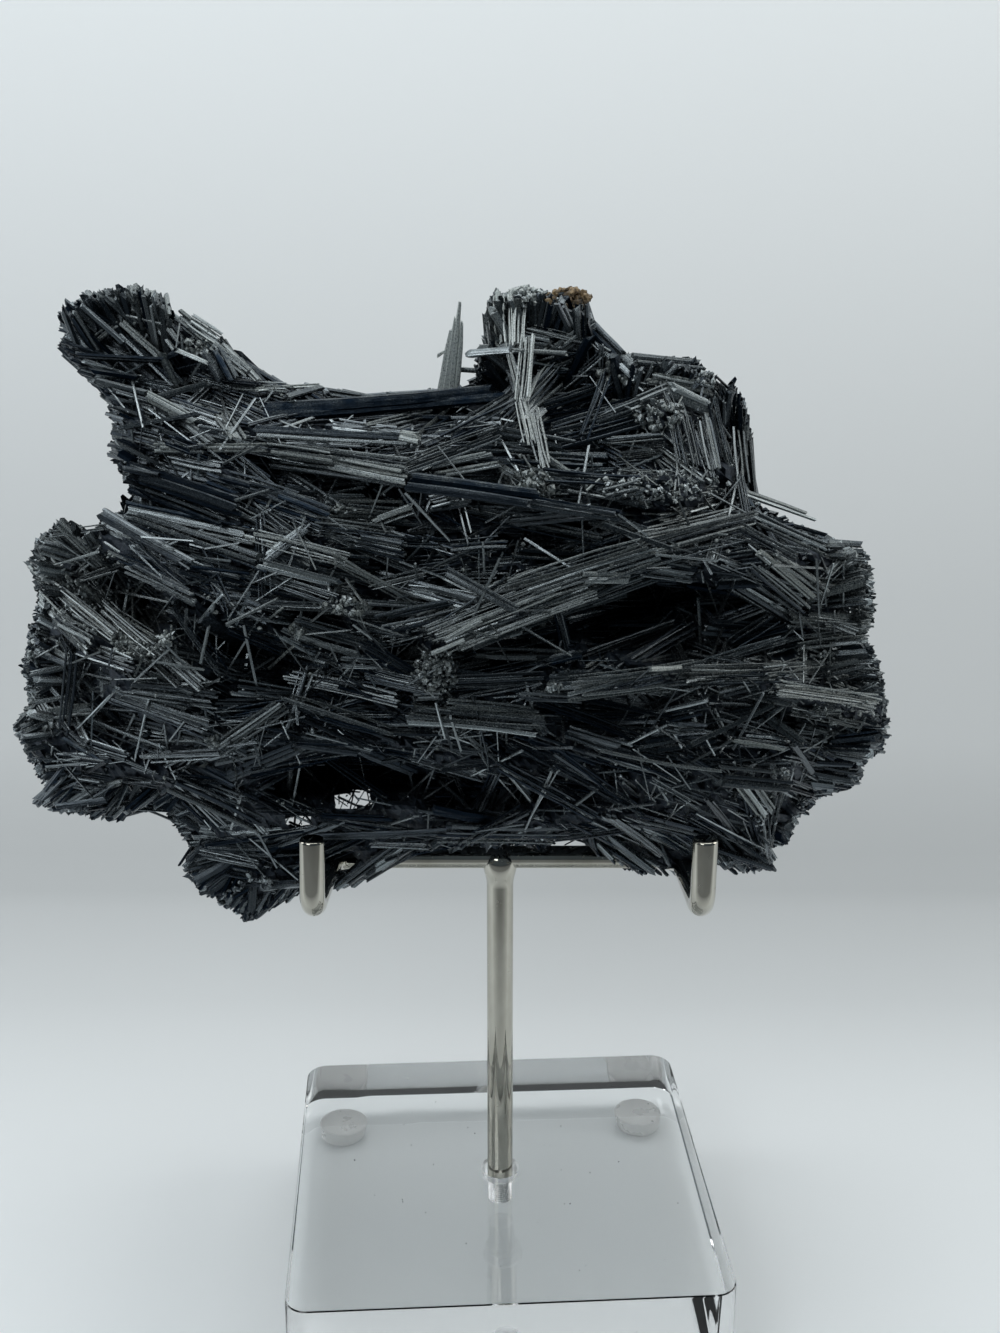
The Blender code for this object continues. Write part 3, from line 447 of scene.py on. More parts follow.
    "ribTen": (640, 549, 758, 517, 1.8, 2.6, 1.4, 7, 0.25),
    "ribEleven": (640, 536, 742, 512, 1.6, 2.4, 1.4, 7, 0.35),
    "shardOne": (431, 653, 464, 639, 2.6, 0.8, 0.5, 1, 1.0),
    "shardTwo": (445, 641, 482, 621, 2.8, 0.8, 0.5, 1, 0.9),
    "shardThree": (438, 627, 478, 611, 2.6, 0.9, 0.5, 1, 0.9),
    "shardFour": (480, 630, 512, 612, 2.8, 0.7, 0.5, 1, 0.9),
    "shardFive": (548, 588, 584, 575, 2.6, 0.8, 0.5, 1, 0.8),
    "darkDiagonal": (444, 569, 520, 611, 2.2, 1.5, 0.9, 2, 0.1),
    "hollowUpright": (698, 598, 701, 660, -1.5, 0.6, 0.5, 1, 0.5),
    "hollowRiseOne": (583, 669, 659, 628, -0.6, 1.0, 0.8, 2, 0.4),
    "hollowRiseTwo": (596, 674, 666, 634, -1.6, 0.8, 0.7, 1, 0.2),
    "hollowGrey": (528, 648, 549, 608, 0.6, 1.2, 0.8, 1, 0.5),
    "hollowThin": (554, 609, 567, 643, 0.4, 0.5, 0.4, 1, 0.3),
    "hollowFallOne": (668, 633, 746, 665, -1.6, 1.1, 0.8, 2, 0.1),
    "hollowFallTwo": (636, 622, 702, 652, -4.0, 1.0, 0.8, 2, 0.0),
    "hollowRiseRight": (712, 651, 794, 626, -0.6, 2.2, 1.4, 5, 0.05),
    "hollowRiseRightTwo": (704, 640, 784, 611, -2.0, 2.2, 1.4, 5, 0.0),
    "hollowRiseRightThree": (716, 622, 800, 590, -1.6, 2.2, 1.4, 5, 0.0),
    "rightFanOne": (759, 552, 813, 598, 2.2, 1.4, 0.9, 2, 0.7),
    "rightFanTwo": (772, 553, 826, 592, 2.0, 1.6, 1.0, 3, 0.5),
    "rightFanThree": (788, 542, 862, 566, 1.0, 2.2, 1.5, 9, 0.35),
    "rightFanFour": (782, 554, 874, 583, 1.4, 3.0, 1.5, 8, 0.5),
    "rightFanFive": (790, 596, 876, 604, 1.2, 3.0, 1.5, 8, 0.55),
    "rightFanSix": (788, 618, 873, 622, 1.2, 3.0, 1.5, 8, 0.5),
    "rightFanSeven": (796, 644, 868, 636, 1.2, 2.6, 1.5, 7, 0.45),
    "rightFanEight": (750, 566, 806, 612, 0.8, 2.0, 1.2, 5, 0.2),
    "rightLowOne": (776, 688, 880, 703, 1.4, 2.8, 1.6, 10, 0.5),
    "rightLowTwo": (786, 706, 888, 727, 1.0, 3.0, 1.6, 8, 0.4),
    "rightLowThree": (764, 674, 870, 664, 1.4, 2.8, 1.6, 10, 0.5),
    "rightLowFour": (798, 722, 884, 750, 0.6, 2.8, 1.6, 6, 0.2),
    "rightLowFive": (826, 736, 866, 758, 1.4, 2.8, 1.6, 3, 0.25),
    "rightLowSix": (800, 654, 882, 680, 1.6, 2.4, 1.4, 7, 0.5),
    "striatedMain": (568, 689, 704, 670, 3.8, 3.8, 2.2, 9, 0.35),
    "striatedMainTwo": (688, 674, 806, 670, 3.0, 3.4, 2.0, 9, 0.4),
    "striatedBright": (650, 669, 682, 667, 3.6, 0.9, 0.6, 1, 1.0),
    "cutPrism": (404, 714, 545, 727, 4.2, 3.0, 2.4, 5, 0.3),
    "cutPrismUpper": (448, 703, 540, 712, 3.2, 1.6, 1.2, 4, 0.3),
    "darkPrism": (610, 728, 708, 731, 2.0, 2.8, 1.8, 4, 0.05),
    "lowerBundle": (602, 749, 727, 770, 3.6, 3.4, 2.2, 7, 0.35),
    "lowerBundleTwo": (716, 773, 791, 780, 2.0, 3.0, 2.2, 3, 0.08),
    "brightShort": (729, 738, 788, 749, 2.8, 1.6, 1.2, 4, 0.95),
    "thinRise": (691, 745, 775, 705, 2.6, 0.9, 0.7, 1, 0.15),
    "fallBlade": (765, 717, 803, 745, 2.4, 1.6, 1.0, 2, 0.2),
    "fallBladeTwo": (792, 745, 811, 772, 1.8, 1.2, 0.9, 1, 0.1),
    "blockCrystal": (818, 787, 861, 771, 0.4, 2.6, 2.2, 2, 0.1),
    "standBrightOne": (738, 782, 764, 817, 2.0, 1.4, 0.9, 3, 0.6),
    "standBrightTwo": (750, 778, 773, 812, 1.6, 1.3, 0.9, 3, 0.4),
    "standDark": (708, 798, 737, 834, 1.2, 1.8, 1.2, 4, 0.15),
    "footOne": (708, 845, 776, 868, 1.0, 2.6, 2.0, 3, 0.1),
    "footTwo": (684, 862, 752, 872, 0.4, 2.4, 1.8, 3, 0.0),
    "darkRunOne": (510, 742, 644, 814, 1.0, 1.8, 1.2, 5, 0.0),
    "darkRunTwo": (556, 750, 692, 842, 0.8, 1.8, 1.2, 5, 0.0),
    "darkRunThree": (496, 762, 604, 822, 0.6, 2.0, 1.2, 5, 0.0),
    "darkRunFour": (600, 790, 690, 852, 1.0, 2.0, 1.4, 4, 0.05),
    "thinRiseLow": (568, 810, 606, 781, 2.0, 0.6, 0.5, 1, 0.2),
    "lowSlabOne": (540, 824, 648, 873, 0.8, 2.8, 1.6, 4, 0.0),
    "lowSlabTwo": (598, 822, 704, 868, 1.0, 2.8, 1.6, 4, 0.0),
    "lowEdge": (436, 836, 560, 838, 0.6, 2.2, 1.6, 4, 0.0),
    "bottomBlade": (199, 851, 324, 833, 1.4, 2.2, 1.5, 3, 0.05),
    "bottomBladeTwo": (308, 836, 464, 829, 1.8, 2.2, 1.5, 3, 0.05),
    "bottomBladeThree": (446, 830, 568, 832, 1.4, 2.0, 1.4, 3, 0.0),
    "underLeft": (322, 877, 394, 846, 0.2, 2.2, 1.5, 6, 0.0),
    "underLeftTwo": (300, 888, 366, 858, 0.0, 2.2, 1.5, 6, 0.0),
    "leftShardOne": (57, 520, 104, 564, 1.0, 2.2, 1.3, 4, 0.4),
    "leftShardTwo": (44, 540, 84, 600, 1.2, 2.0, 1.3, 6, 0.4),
    "leftShardThree": (64, 538, 108, 596, 1.4, 2.0, 1.3, 7, 0.4),
    "leftShardFour": (30, 562, 62, 592, 0.8, 2.2, 1.3, 5, 0.6),
    "leftShardFive": (84, 530, 124, 584, 1.0, 2.0, 1.2, 4, 0.3),
    "leftShardSix": (98, 566, 140, 618, 1.6, 2.0, 1.3, 7, 0.4),
    "leftShardSeven": (62, 592, 116, 636, 1.6, 2.0, 1.3, 7, 0.45),
    "leftShardEight": (102, 606, 158, 654, 1.8, 2.0, 1.3, 7, 0.4),
    "leftShardNine": (122, 626, 186, 676, 1.6, 2.0, 1.3, 7, 0.35),
    "leftShardTen": (148, 640, 204, 688, 1.2, 2.0, 1.3, 5, 0.3),
    "leftShardEleven": (40, 596, 92, 650, 1.0, 2.0, 1.3, 5, 0.5),
    "brightChip": (127, 580, 151, 623, 2.8, 2.4, 1.2, 3, 0.95),
    "leftRun": (110, 694, 207, 729, 2.0, 2.8, 1.5, 6, 0.1),
    "leftRunTwo": (100, 672, 192, 702, 1.4, 2.4, 1.4, 5, 0.15),
    "leftRunThree": (120, 716, 212, 742, 1.2, 2.4, 1.4, 5, 0.1),
    "endBlock": (186, 687, 213, 711, 2.8, 2.4, 1.6, 3, 0.6),
    # painted shade: the dust below zero takes this crystal's tone down to near black
    "flatDark": (62, 738, 112, 768, 0.9, 0.8, 0.6, 1, -0.3),
    "thinLobe": (61, 785, 107, 762, 2.0, 0.9, 0.6, 1, 0.1),
    "lobeBase": (74, 798, 125, 782, 1.6, 1.7, 1.2, 3, 0.5),
    "lobeBottom": (44, 800, 104, 809, 0.2, 1.6, 1.2, 5, 0.05),
    "lobeBottomTwo": (88, 807, 150, 800, 0.2, 1.4, 1.2, 4, 0.0),
    "lobeUpright": (95, 690, 111, 748, 1.6, 1.2, 0.9, 2, 0.1),
    "lobeUprightTwo": (62, 690, 88, 744, 1.0, 1.4, 1.0, 3, 0.1),
    "lobeUprightThree": (64, 660, 78, 702, 1.4, 0.9, 0.7, 2, 0.15),
    "lobeEdge": (22, 712, 52, 770, 0.4, 2.0, 1.4, 4, 0.3),
    "lobeFacet": (50, 714, 92, 708, 1.8, 2.0, 1.3, 4, 0.5),
    "trailOne": (150, 748, 207, 811, 1.4, 2.4, 1.4, 5, 0.1),
    "trailTwo": (172, 782, 260, 824, 2.0, 3.2, 1.6, 6, 0.15),
    "trailThree": (186, 800, 250, 838, 1.2, 2.6, 1.5, 5, 0.05),
    "trailFour": (206, 770, 262, 800, 0.8, 2.4, 1.4, 4, 0.0),
    "leftBundle": (216, 753, 284, 706, 2.2, 2.8, 1.4, 7, 0.2),
    "leftBundleTwo": (228, 776, 298, 746, 1.4, 1.9, 1.2, 3, 0.1),
    "leftBundleThree": (254, 792, 290, 771, 0.4, 1.5, 1.0, 3, 0.0),
    "standing": (292, 714, 290, 788, 1.0, 1.1, 0.9, 1, 0.2),
    "glint": (201, 764, 218, 776, 2.2, 1.4, 0.8, 1, 1.0),
    "pairOne": (280, 698, 398, 737, 2.2, 2.4, 1.6, 4, 0.2),
    "pairTwo": (290, 688, 402, 723, 1.8, 2.2, 1.4, 4, 0.2),
    "pairThree": (252, 664, 366, 679, 2.0, 2.4, 1.5, 5, 0.3),
    "pairFour": (282, 676, 402, 702, 1.6, 2.2, 1.4, 5, 0.25),
    "darkBlade": (204, 617, 266, 661, 2.4, 2.4, 1.1, 1, 0.1),
    "darkBladeTwo": (176, 598, 238, 642, 1.2, 2.2, 1.2, 3, 0.05),
    "thinUp": (226, 625, 278, 599, 3.0, 0.6, 0.5, 1, 0.4),
    "brightUp": (246, 640, 283, 608, 3.2, 0.4, 0.35, 1, 1.0),
    "thinUpTwo": (269, 669, 294, 646, 3.2, 0.5, 0.4, 1, 0.5),
    "needleFall": (345, 778, 398, 828, 1.0, 0.6, 0.5, 1, 0.2),
    "middleRun": (290, 622, 392, 650, 0.8, 2.4, 1.4, 5, 0.1),
    "middleRunTwo": (236, 640, 330, 664, 0.8, 2.2, 1.4, 5, 0.1),
    "gapNeedleOne": (141, 808, 193, 830, 0.0, 0.5, 0.4, 1, 0.1),
    "gapNeedleTwo": (150, 804, 186, 826, 1.0, 0.4, 0.35, 1, 0.1),
}
named = np.array(list(namedCrystals.values()), float)


def lieAt(uv):
    # the direction in the picture that the named crystals near each point share
    start, end = named[:, 0:2], named[:, 2:4]
    along = end - start
    span = np.linalg.norm(along, axis=1)
    weight = span * (0.4 + np.minimum(named[:, 5], 3.0))
    away = ((uv[:, None, :] - (start + end) / 2) ** 2).sum(-1)
    angle = 2 * np.arctan2(along[:, 1], along[:, 0])
    pull = weight / (away + 500.0) ** 1.3
    turn = np.arctan2((np.sin(angle) * pull).sum(1), (np.cos(angle) * pull).sum(1)) / 2
    return np.stack((np.cos(turn), np.sin(turn)), axis=1)


# Places in the picture that are dusted or dull grey-green: centre, radius, how much
dustyPlaces = np.array([
    (735, 430, 34, 0.30), (503, 318, 30, 0.60), (545, 345, 30, 0.35), (525, 410, 20, 0.60),
    (530, 485, 26, 0.45), (655, 415, 30, 0.45), (660, 490, 60, 0.45), (600, 505, 34, 0.25),
    (845, 572, 44, 0.40), (852, 620, 40, 0.45), (842, 690, 52, 0.45), (790, 665, 44, 0.30),
    (700, 680, 60, 0.20), (345, 606, 38, 0.50), (298, 630, 16, 0.50), (440, 672, 34, 0.45),
    (66, 560, 46, 0.45), (110, 612, 46, 0.50), (150, 655, 40, 0.40), (205, 332, 32, 0.35),
    (140, 300, 34, 0.25), (362, 508, 32, 0.45), (390, 582, 44, 0.30), (480, 620, 60, 0.30),
    (600, 570, 60, 0.22), (60, 640, 34, 0.30), (40, 715, 26, 0.35), (770, 800, 34, 0.20),
    (650, 380, 40, 0.25), (300, 545, 50, 0.22),
])


def dustAt(uv):
    away = np.linalg.norm(uv[:, None, :] - dustyPlaces[:, 0:2], axis=-1)
    return (np.exp(-((away / dustyPlaces[:, 2]) ** 2)) * dustyPlaces[:, 3]).max(axis=1)


# Dark holes: picture place, half sizes in pixels. Only deep, unlit crystals show there; the front's bundles
# in them get painted shade.
holes = np.array([
    (390, 490, 36, 12), (590, 440, 44, 36), (648, 618, 84, 30), (372, 775, 66, 32), (520, 545, 40, 16),
    (702, 818, 16, 26), (585, 770, 46, 16), (300, 790, 40, 22), (226, 690, 26, 18), (560, 712, 20, 10),
    (375, 415, 100, 12), (480, 790, 60, 26), (430, 545, 46, 20),
], float)


def inHole(uv):
    away = (uv[:, None, :] - holes[:, 0:2]) / holes[:, 2:4]
    return ((away ** 2).sum(-1) < 1.0).any(axis=1)


# Places where the crystals are short and broken: picture place, radius in pixels
shortPlaces = np.array([
    (140, 325, 75), (205, 345, 40), (535, 330, 58), (80, 600, 70), (140, 640, 50), (845, 600, 50),
    (835, 700, 55), (60, 730, 50), (250, 890, 50), (700, 440, 40), (660, 480, 60), (690, 385, 40),
    (350, 605, 40), (440, 670, 40),
], float)


def inShortPlace(uv):
    away = np.linalg.norm(uv[:, None, :] - shortPlaces[:, 0:2], axis=-1)
    return (away < shortPlaces[:, 2]).any(axis=1)


# Windows right through the mass, where the pale backdrop shows: picture place, half sizes in pixels
windows = np.array([(345, 802, 8, 6), (362, 797, 8, 4), (299, 822, 9, 4), (574, 845, 12, 3)], float)


def inWindow(uv, wider=0.0):
    away = (uv[:, None, :] - windows[:, 0:2]) / (windows[:, 2:4] + wider)
    return ((away ** 2).sum(-1) < 1.0).any(axis=1)


def crossesWindow(start, end):
    return np.any([inWindow(start + (end - start) * share, 5.0) for share in np.linspace(0, 1, 13)], axis=0)


# Crystals as strands: swept, flattened, grooved sections with broken ends

def facingAt(uv, side, rng, roll, lean=1.4):
    # the way the flat of a crystal looks: out of the mass, leaning over at the edge, rolled a little
    step = 6.0
    room = roomInside(uv)
    slope = np.stack((
        roomInside(uv + (step, 0.0)) - room,
        -(roomInside(uv + (0.0, step)) - room),
    ), axis=1)
    edge = np.clip(1 - room / form["roundedOver"], 0, 1)[:, None]
    outward = -unit(slope) * edge * lean
    facing = np.stack((outward[:, 0], np.full(len(uv), float(side)), outward[:, 1] + 0.25), axis=1)
    return unit(facing + rng.normal(0, roll, facing.shape))


def spreadStrands(rng, low, high, width, thick, facing, strands, fan=0.25, stagger=0.10):
    # splits each bundle into strands side by side; arrays in, arrays out
    which = np.repeat(np.arange(len(low)), strands)
    order = np.concatenate([np.arange(s) for s in strands])
    low, high, width, thick, facing = (values[which] for values in (low, high, width, thick, facing))
    total = strands[which]
    axis = unit(high - low)
    flat = unit(np.cross(axis, facing))
    thin = np.cross(flat, axis)
    across = (order + 0.5) / total - 0.5 + rng.uniform(-0.25, 0.25, len(which)) / total
    through = rng.uniform(-0.5, 0.5, len(which)) * (total > 1)
    shift = flat * (across * width * mm)[:, None] + thin * (through * thick * mm)[:, None]
    length = np.linalg.norm(high - low, axis=1)
    slip = rng.uniform(0, 1, (2, len(which))) ** 2 * stagger * length * (total > 1)
    single = total == 1
    newWidth = np.where(single, width, width / total * rng.uniform(0.7, 1.7, len(which)))
    newThick = np.where(single, thick, np.minimum(thick, newWidth * rng.uniform(0.55, 1.0, len(which))))
    newLow = low + shift + axis * slip[0][:, None]
    newHigh = high + shift * (1 + fan * rng.uniform(-0.6, 1.4, (len(which), 1))) - axis * slip[1][:, None]
    return newLow, newHigh, newWidth, newThick, facing, which


cradle = {
    "rodRadius": 2.0,      # all in mm, from the post's axis
    "rodHeight": 86.5,
    "leftX": -29.7,
    "rightX": 32.0,
    "reach": 30.0,
    "rise": 4.2,
    "corner": 5.0,
    "prongBend": 4.5,
    "prongTop": 103.0,
    "prongLean": 0.4,
    "endEdge": 0.5,        # the prongs' ends are rounded over this much
    "clear": 0.35,         # between the rod and a strand
    "beadReach": 4.0,      # no strand comes lower than beadTop over the rod's axis this near the post
    "beadTop": 3.2,
    "sides": 36,
}


def roundedPath(corners, radii, steps):
    # a line through the corners with an arc at each inner one
    points = [corners[0]]
    for before, corner, after, radius in zip(corners, corners[1:], corners[2:], radii):
        toward, onward = unit(before - corner), unit(after - corner)
        half = math.acos(np.clip(toward @ onward, -1, 1)) / 2
        middle = corner + unit(toward + onward) * radius / math.sin(half)
        first = corner + toward * radius / math.tan(half) - middle
        last = corner + onward * radius / math.tan(half) - middle
        sweep = math.pi - 2 * half
        for i in range(steps + 1):
            a = sweep * i / steps
            points.append(middle + (math.sin(sweep - a) * first + math.sin(a) * last) / math.sin(sweep))
    points.append(corners[-1])
    return np.array(points)


def cradlePath(steps):
    front, back = postY - cradle["reach"] * mm, postY
    left, right = postX + cradle["leftX"] * mm, postX + cradle["rightX"] * mm
    rod, tip = cradle["rodHeight"] * mm, cradle["prongTop"] * mm
    low = rod + cradle["rise"] * mm
    corners = [np.array(c) for c in (
        (left + cradle["prongLean"] * mm, front, tip), (left, front, low), (left, back, rod),
        (right, back, rod), (right, front, low), (right, front, tip))]
    radii = [cradle[key] * mm for key in ("prongBend", "corner", "corner", "prongBend")]
    return roundedPath(corners, radii, steps)


def clearOfStand(low, high, width):
    # True for strands that stay off the cradle's rod and the weld
    path = cradlePath(4)
    start, side = path[:-1], path[1:] - path[:-1]
    near = np.full(len(low), 1.0)
    for share in np.linspace(0, 1, 7):
        point = low + (high - low) * share
        away = point[:, None, :] - start
        at = np.clip((away * side).sum(-1) / (side * side).sum(-1), 0, 1)
        near = np.minimum(near, np.linalg.norm(away - side * at[..., None], axis=-1).min(axis=1))
    keep = near > (cradle["rodRadius"] + cradle["clear"]) * mm + width * mm * 0.5
    middle = (low + high) / 2
    overBead = np.hypot(middle[:, 0] - postX, middle[:, 1] - postY) < cradle["beadReach"] * mm
    lowest = np.minimum(low[:, 2], high[:, 2]) - width * mm / 2
    return keep & ~(overBead & (lowest < (cradle["rodHeight"] + cradle["beadTop"]) * mm))


rooting = {"low": 1.5, "middle": 1.5, "high": 0.8}  # mm that a strand's points may be off the mass


def sweepStrands(rng, low, high, width, thick, facing, tone, dust,
                 sides=8, rings=3, taper=0.88, ragged=0.55, bend=0.012, groove=0.22, point=0.0,
                 rooted=True):
    keep = clearOfStand(low, high, width)
    if rooted:  # a strand that would hang free in the air is left out
        keep &= (touchesMass(low, rooting["low"]) | touchesMass((low + high) / 2, rooting["middle"])
                 | touchesMass(high, rooting["high"]))
    low, high, width, thick, facing, tone, dust = (
        values[keep] for values in (low, high, width, thick, facing, tone, dust))
    count = len(low)
    along = high - low
    length = np.linalg.norm(along, axis=1)
    axis = unit(along)
    flat = unit(np.cross(axis, facing))
    thin = np.cross(flat, axis)
    station = np.linspace(0, 1, rings)
    turn = 2 * math.pi * (np.arange(sides) + 0.5) / sides
    ridge = 1 - groove * rng.random((count, sides))
    across = np.sign(np.cos(turn)) * np.abs(np.cos(turn)) ** 0.7 * ridge
    through = np.sign(np.sin(turn)) * np.abs(np.sin(turn)) ** 0.7 * ridge
    swell = 1 - (1 - taper) * station + rng.uniform(-0.07, 0.07, (count, rings))
    swell[:, -1] *= 1 - point
    sway = rng.normal(0, bend, (count, 2)) * length[:, None]
    arch = (4 * station * (1 - station))[None, :, None]
    centre = low[:, None, :] + along[:, None, :] * station[None, :, None]
    centre = centre + (flat * sway[:, :1] + thin * sway[:, 1:])[:, None, :] * arch
    half = swell[:, :, None] * mm / 2
    place = (
        centre[:, :, None, :]
        + flat[:, None, None, :] * (across[:, None, :] * half * width[:, None, None])[..., None]
        + thin[:, None, None, :] * (through[:, None, :] * half * thick[:, None, None])[..., None]
    )
    caps = []
    for ring, out in ((0, -1.0), (rings - 1, 1.0)):  # each end is broken across in a slope and a few steps
        slope = np.cos(turn + rng.uniform(0, 2 * math.pi, (count, 1))) * rng.uniform(0, 0.7, (count, 1))
        steps = (rng.random((count, sides)) - 0.7) + slope
        reach = steps * ragged * np.minimum(width, 2.2)[:, None] * mm
        place[:, ring] += out * axis[:, None, :] * reach[..., None]
        middle = place[:, ring].mean(axis=1)
        dent = rng.uniform(-0.35, 0.15, count) * width * mm * ragged
        caps.append(middle + out * axis * dent[:, None])
    body = place.reshape(count, rings * sides, 3)
    points = np.concatenate((body, np.stack(caps, axis=1)), axis=1)
    triangles = []
    for r in range(rings - 1):
        for s in range(sides):
            a, b = r * sides + s, r * sides + (s + 1) % sides
            c, d = b + sides, a + sides
            triangles += [(a, b, c), (a, c, d)]
    bottom, top = rings * sides, rings * sides + 1
    for s in range(sides):
        triangles.append((bottom, (s + 1) % sides, s))
        last = (rings - 1) * sides
        triangles.append((top, last + s, last + (s + 1) % sides))
    triangles = np.array(triangles)[:, ::-1]
    each = points.shape[1]
    faces = (triangles[None] + (np.arange(count) * each)[:, None, None]).reshape(-1, 3)
    girth = (width + thick)[:, None, None]
    aroundUnit = np.broadcast_to((np.arange(sides) / sides)[None, None, :], (count, rings, sides))
    grain = np.zeros((count, each, 3))
    grain[:, :-2, 0] = (aroundUnit * girth * 1.6).reshape(count, -1)
    run = station[None, :, None] * (length / mm)[:, None, None] * np.ones(sides)
    grain[:, :-2, 1] = run.reshape(count, -1)
    grain[:, -1, 1] = length / mm
    grain[:, :, 2] = rng.uniform(0, 100, (count, 1))
    spread = rng.normal(0, 0.16, count) + (rng.random(count) < 0.09) * 0.5
    tones = np.repeat(np.clip(tone + spread, 0, 1), each)
    dusts = np.repeat(np.clip(dust + rng.normal(0, 0.08, count), 0, 1.2), each).reshape(count, each)
    dusts[:, -2:] += 0.12
    return points.reshape(-1, 3), faces, grain.reshape(-1, 3), tones, dusts.ravel()


def growNamed(rng, rows, side=-1.0, shift=None):
    # bundles for rows of the named table, on the front (side -1) or turned to the rear (side 1)
    start, end = rows[:, 0:2].copy(), rows[:, 2:4].copy()
    if shift is not None:  # moved a little for the rear, and left out where that reaches past the outline
        start, end = start + shift, end + shift
        whole = (roomInside(start) > 1.5) & (roomInside(end) > 1.5)
        rows, start, end = rows[whole], start[whole], end[whole]
    clear = ~crossesWindow(start, end) | (rows[:, 5] < 0.8)
    rows, start, end = rows[clear], start[clear], end[clear]
    lift = rows[:, 4]
    low = seenAt(start, skinAt(start, side, lift))
    high = seenAt(end, skinAt(end, side, lift))
    facing = facingAt((start + end) / 2, side, rng, 0.16, lean=0.5)
    strands = rows[:, 7].astype(int)
    made = spreadStrands(rng, low, high, rows[:, 5], rows[:, 6], facing, strands, fan=0.12)
    which = made[5]
    dust = np.maximum(rows[:, 8], dustAt((start + end) / 2) * 0.6)[which]
    # the dust column sets the tone too; where it is below zero, the near-black tone is painted shade
    tone = (0.16 + 0.55 * rows[:, 8])[which]
    return made[:5] + (tone, dust)


def growField(rng, side, settings):
    # bundles over the whole front or rear, each lying as the named crystals near it do
    step = settings["step"]
    u, v = np.meshgrid(np.arange(*form["fieldU"], step[0]), np.arange(*form["fieldV"], step[1]))
    uv = np.stack((u.ravel(), v.ravel()), axis=1).astype(float)
    uv += rng.uniform(-0.6, 0.6, uv.shape) * step
    uv = uv[(roomInside(uv) > settings["edge"]) & ~inWindow(uv)]
    lie = lieAt(uv)
    turn = rng.normal(0, math.radians(settings["sway"]), len(uv))
    turn += (rng.random(len(uv)) < settings["stray"]) * rng.uniform(-1.2, 1.2, len(uv))
    along = np.stack((lie[:, 0] * np.cos(turn) - lie[:, 1] * np.sin(turn),
                      lie[:, 0] * np.sin(turn) + lie[:, 1] * np.cos(turn)), axis=1)
    along *= np.where(rng.random(len(uv)) < 0.5, -1, 1)[:, None]
    length = rng.uniform(*settings["length"], len(uv)) * form["pxPerMm"]
    length *= np.where(inShortPlace(uv), settings["broken"], 1.0)
    ends = []
    for way in (-0.5, 0.5):
        end = uv + along * (length * way)[:, None]
        for _ in range(5):  # drawn in until it is inside the outline and out of the windows
            outside = (roomInside(end) < settings["edge"] * 0.6) | inWindow(end)
            end = np.where(outside[:, None], uv + (end - uv) * 0.7, end)
        ends.append(end)
    long = np.linalg.norm(ends[1] - ends[0], axis=1) > 3.0 * form["pxPerMm"]
    long &= ~crossesWindow(*ends)
    uv, start, end = uv[long], ends[0][long], ends[1][long]
    lift = rng.uniform(*settings["lift"], len(uv))
    if side < 0:
        lift = np.where(inHole(uv), lift - settings["holeDrop"], lift)
    tip = rng.normal(0, settings["dip"], (2, len(uv)))
    low = seenAt(start, skinAt(start, side, lift + tip[0]))
    high = seenAt(end, skinAt(end, side, lift + tip[1]))
    facing = facingAt(uv, side, rng, settings["roll"])
    width = rng.uniform(*settings["width"], len(uv))
    thick = width * rng.uniform(*settings["flatness"], len(uv))
    strands = rng.integers(*settings["strands"], len(uv))
    made = spreadStrands(rng, low, high, width, thick, facing, strands, stagger=0.22)
    which = made[5]
    # painted shade: the front's bundles in the dark holes keep 0.3 of their tone and dust
    holeShade = np.where(inHole(uv) & (side < 0), 0.3, 1.0)
    tone = (rng.random(len(uv)) ** 2 * 0.7 * holeShade)[which]
    dust = (dustAt(uv) * settings["dusted"] * holeShade)[which]
    return made[:5] + (tone, dust)


frontUpper = {
    "step": (24, 17), "edge": 1.2, "sway": 11, "stray": 0.10, "length": (8, 20),
    "lift": (-2.6, 0.4), "holeDrop": 4.0, "dip": 0.7, "roll": 0.34, "width": (1.1, 2.8),
    "strands": (3, 9), "dusted": 1.0,
    "flatness": (0.35, 0.7), "broken": 0.55,
}
frontDeep = {
    "step": (40, 28), "edge": 2.0, "sway": 26, "stray": 0.25, "length": (8, 20),
    "lift": (-7.0, -3.0), "holeDrop": 6.0, "dip": 1.4, "roll": 0.6, "width": (1.4, 3.2),
    "strands": (3, 6), "dusted": 0.3,
    "flatness": (0.35, 0.7), "broken": 0.55,
}
rearUpper = {
    "step": (30, 22), "edge": 1.2, "sway": 18, "stray": 0.14, "length": (9, 22),
    "lift": (-2.0, 1.0), "holeDrop": 0.0, "dip": 0.8, "roll": 0.36, "width": (1.4, 3.4),
    "strands": (3, 8), "dusted": 0.8,
    "flatness": (0.35, 0.7), "broken": 0.55,
}


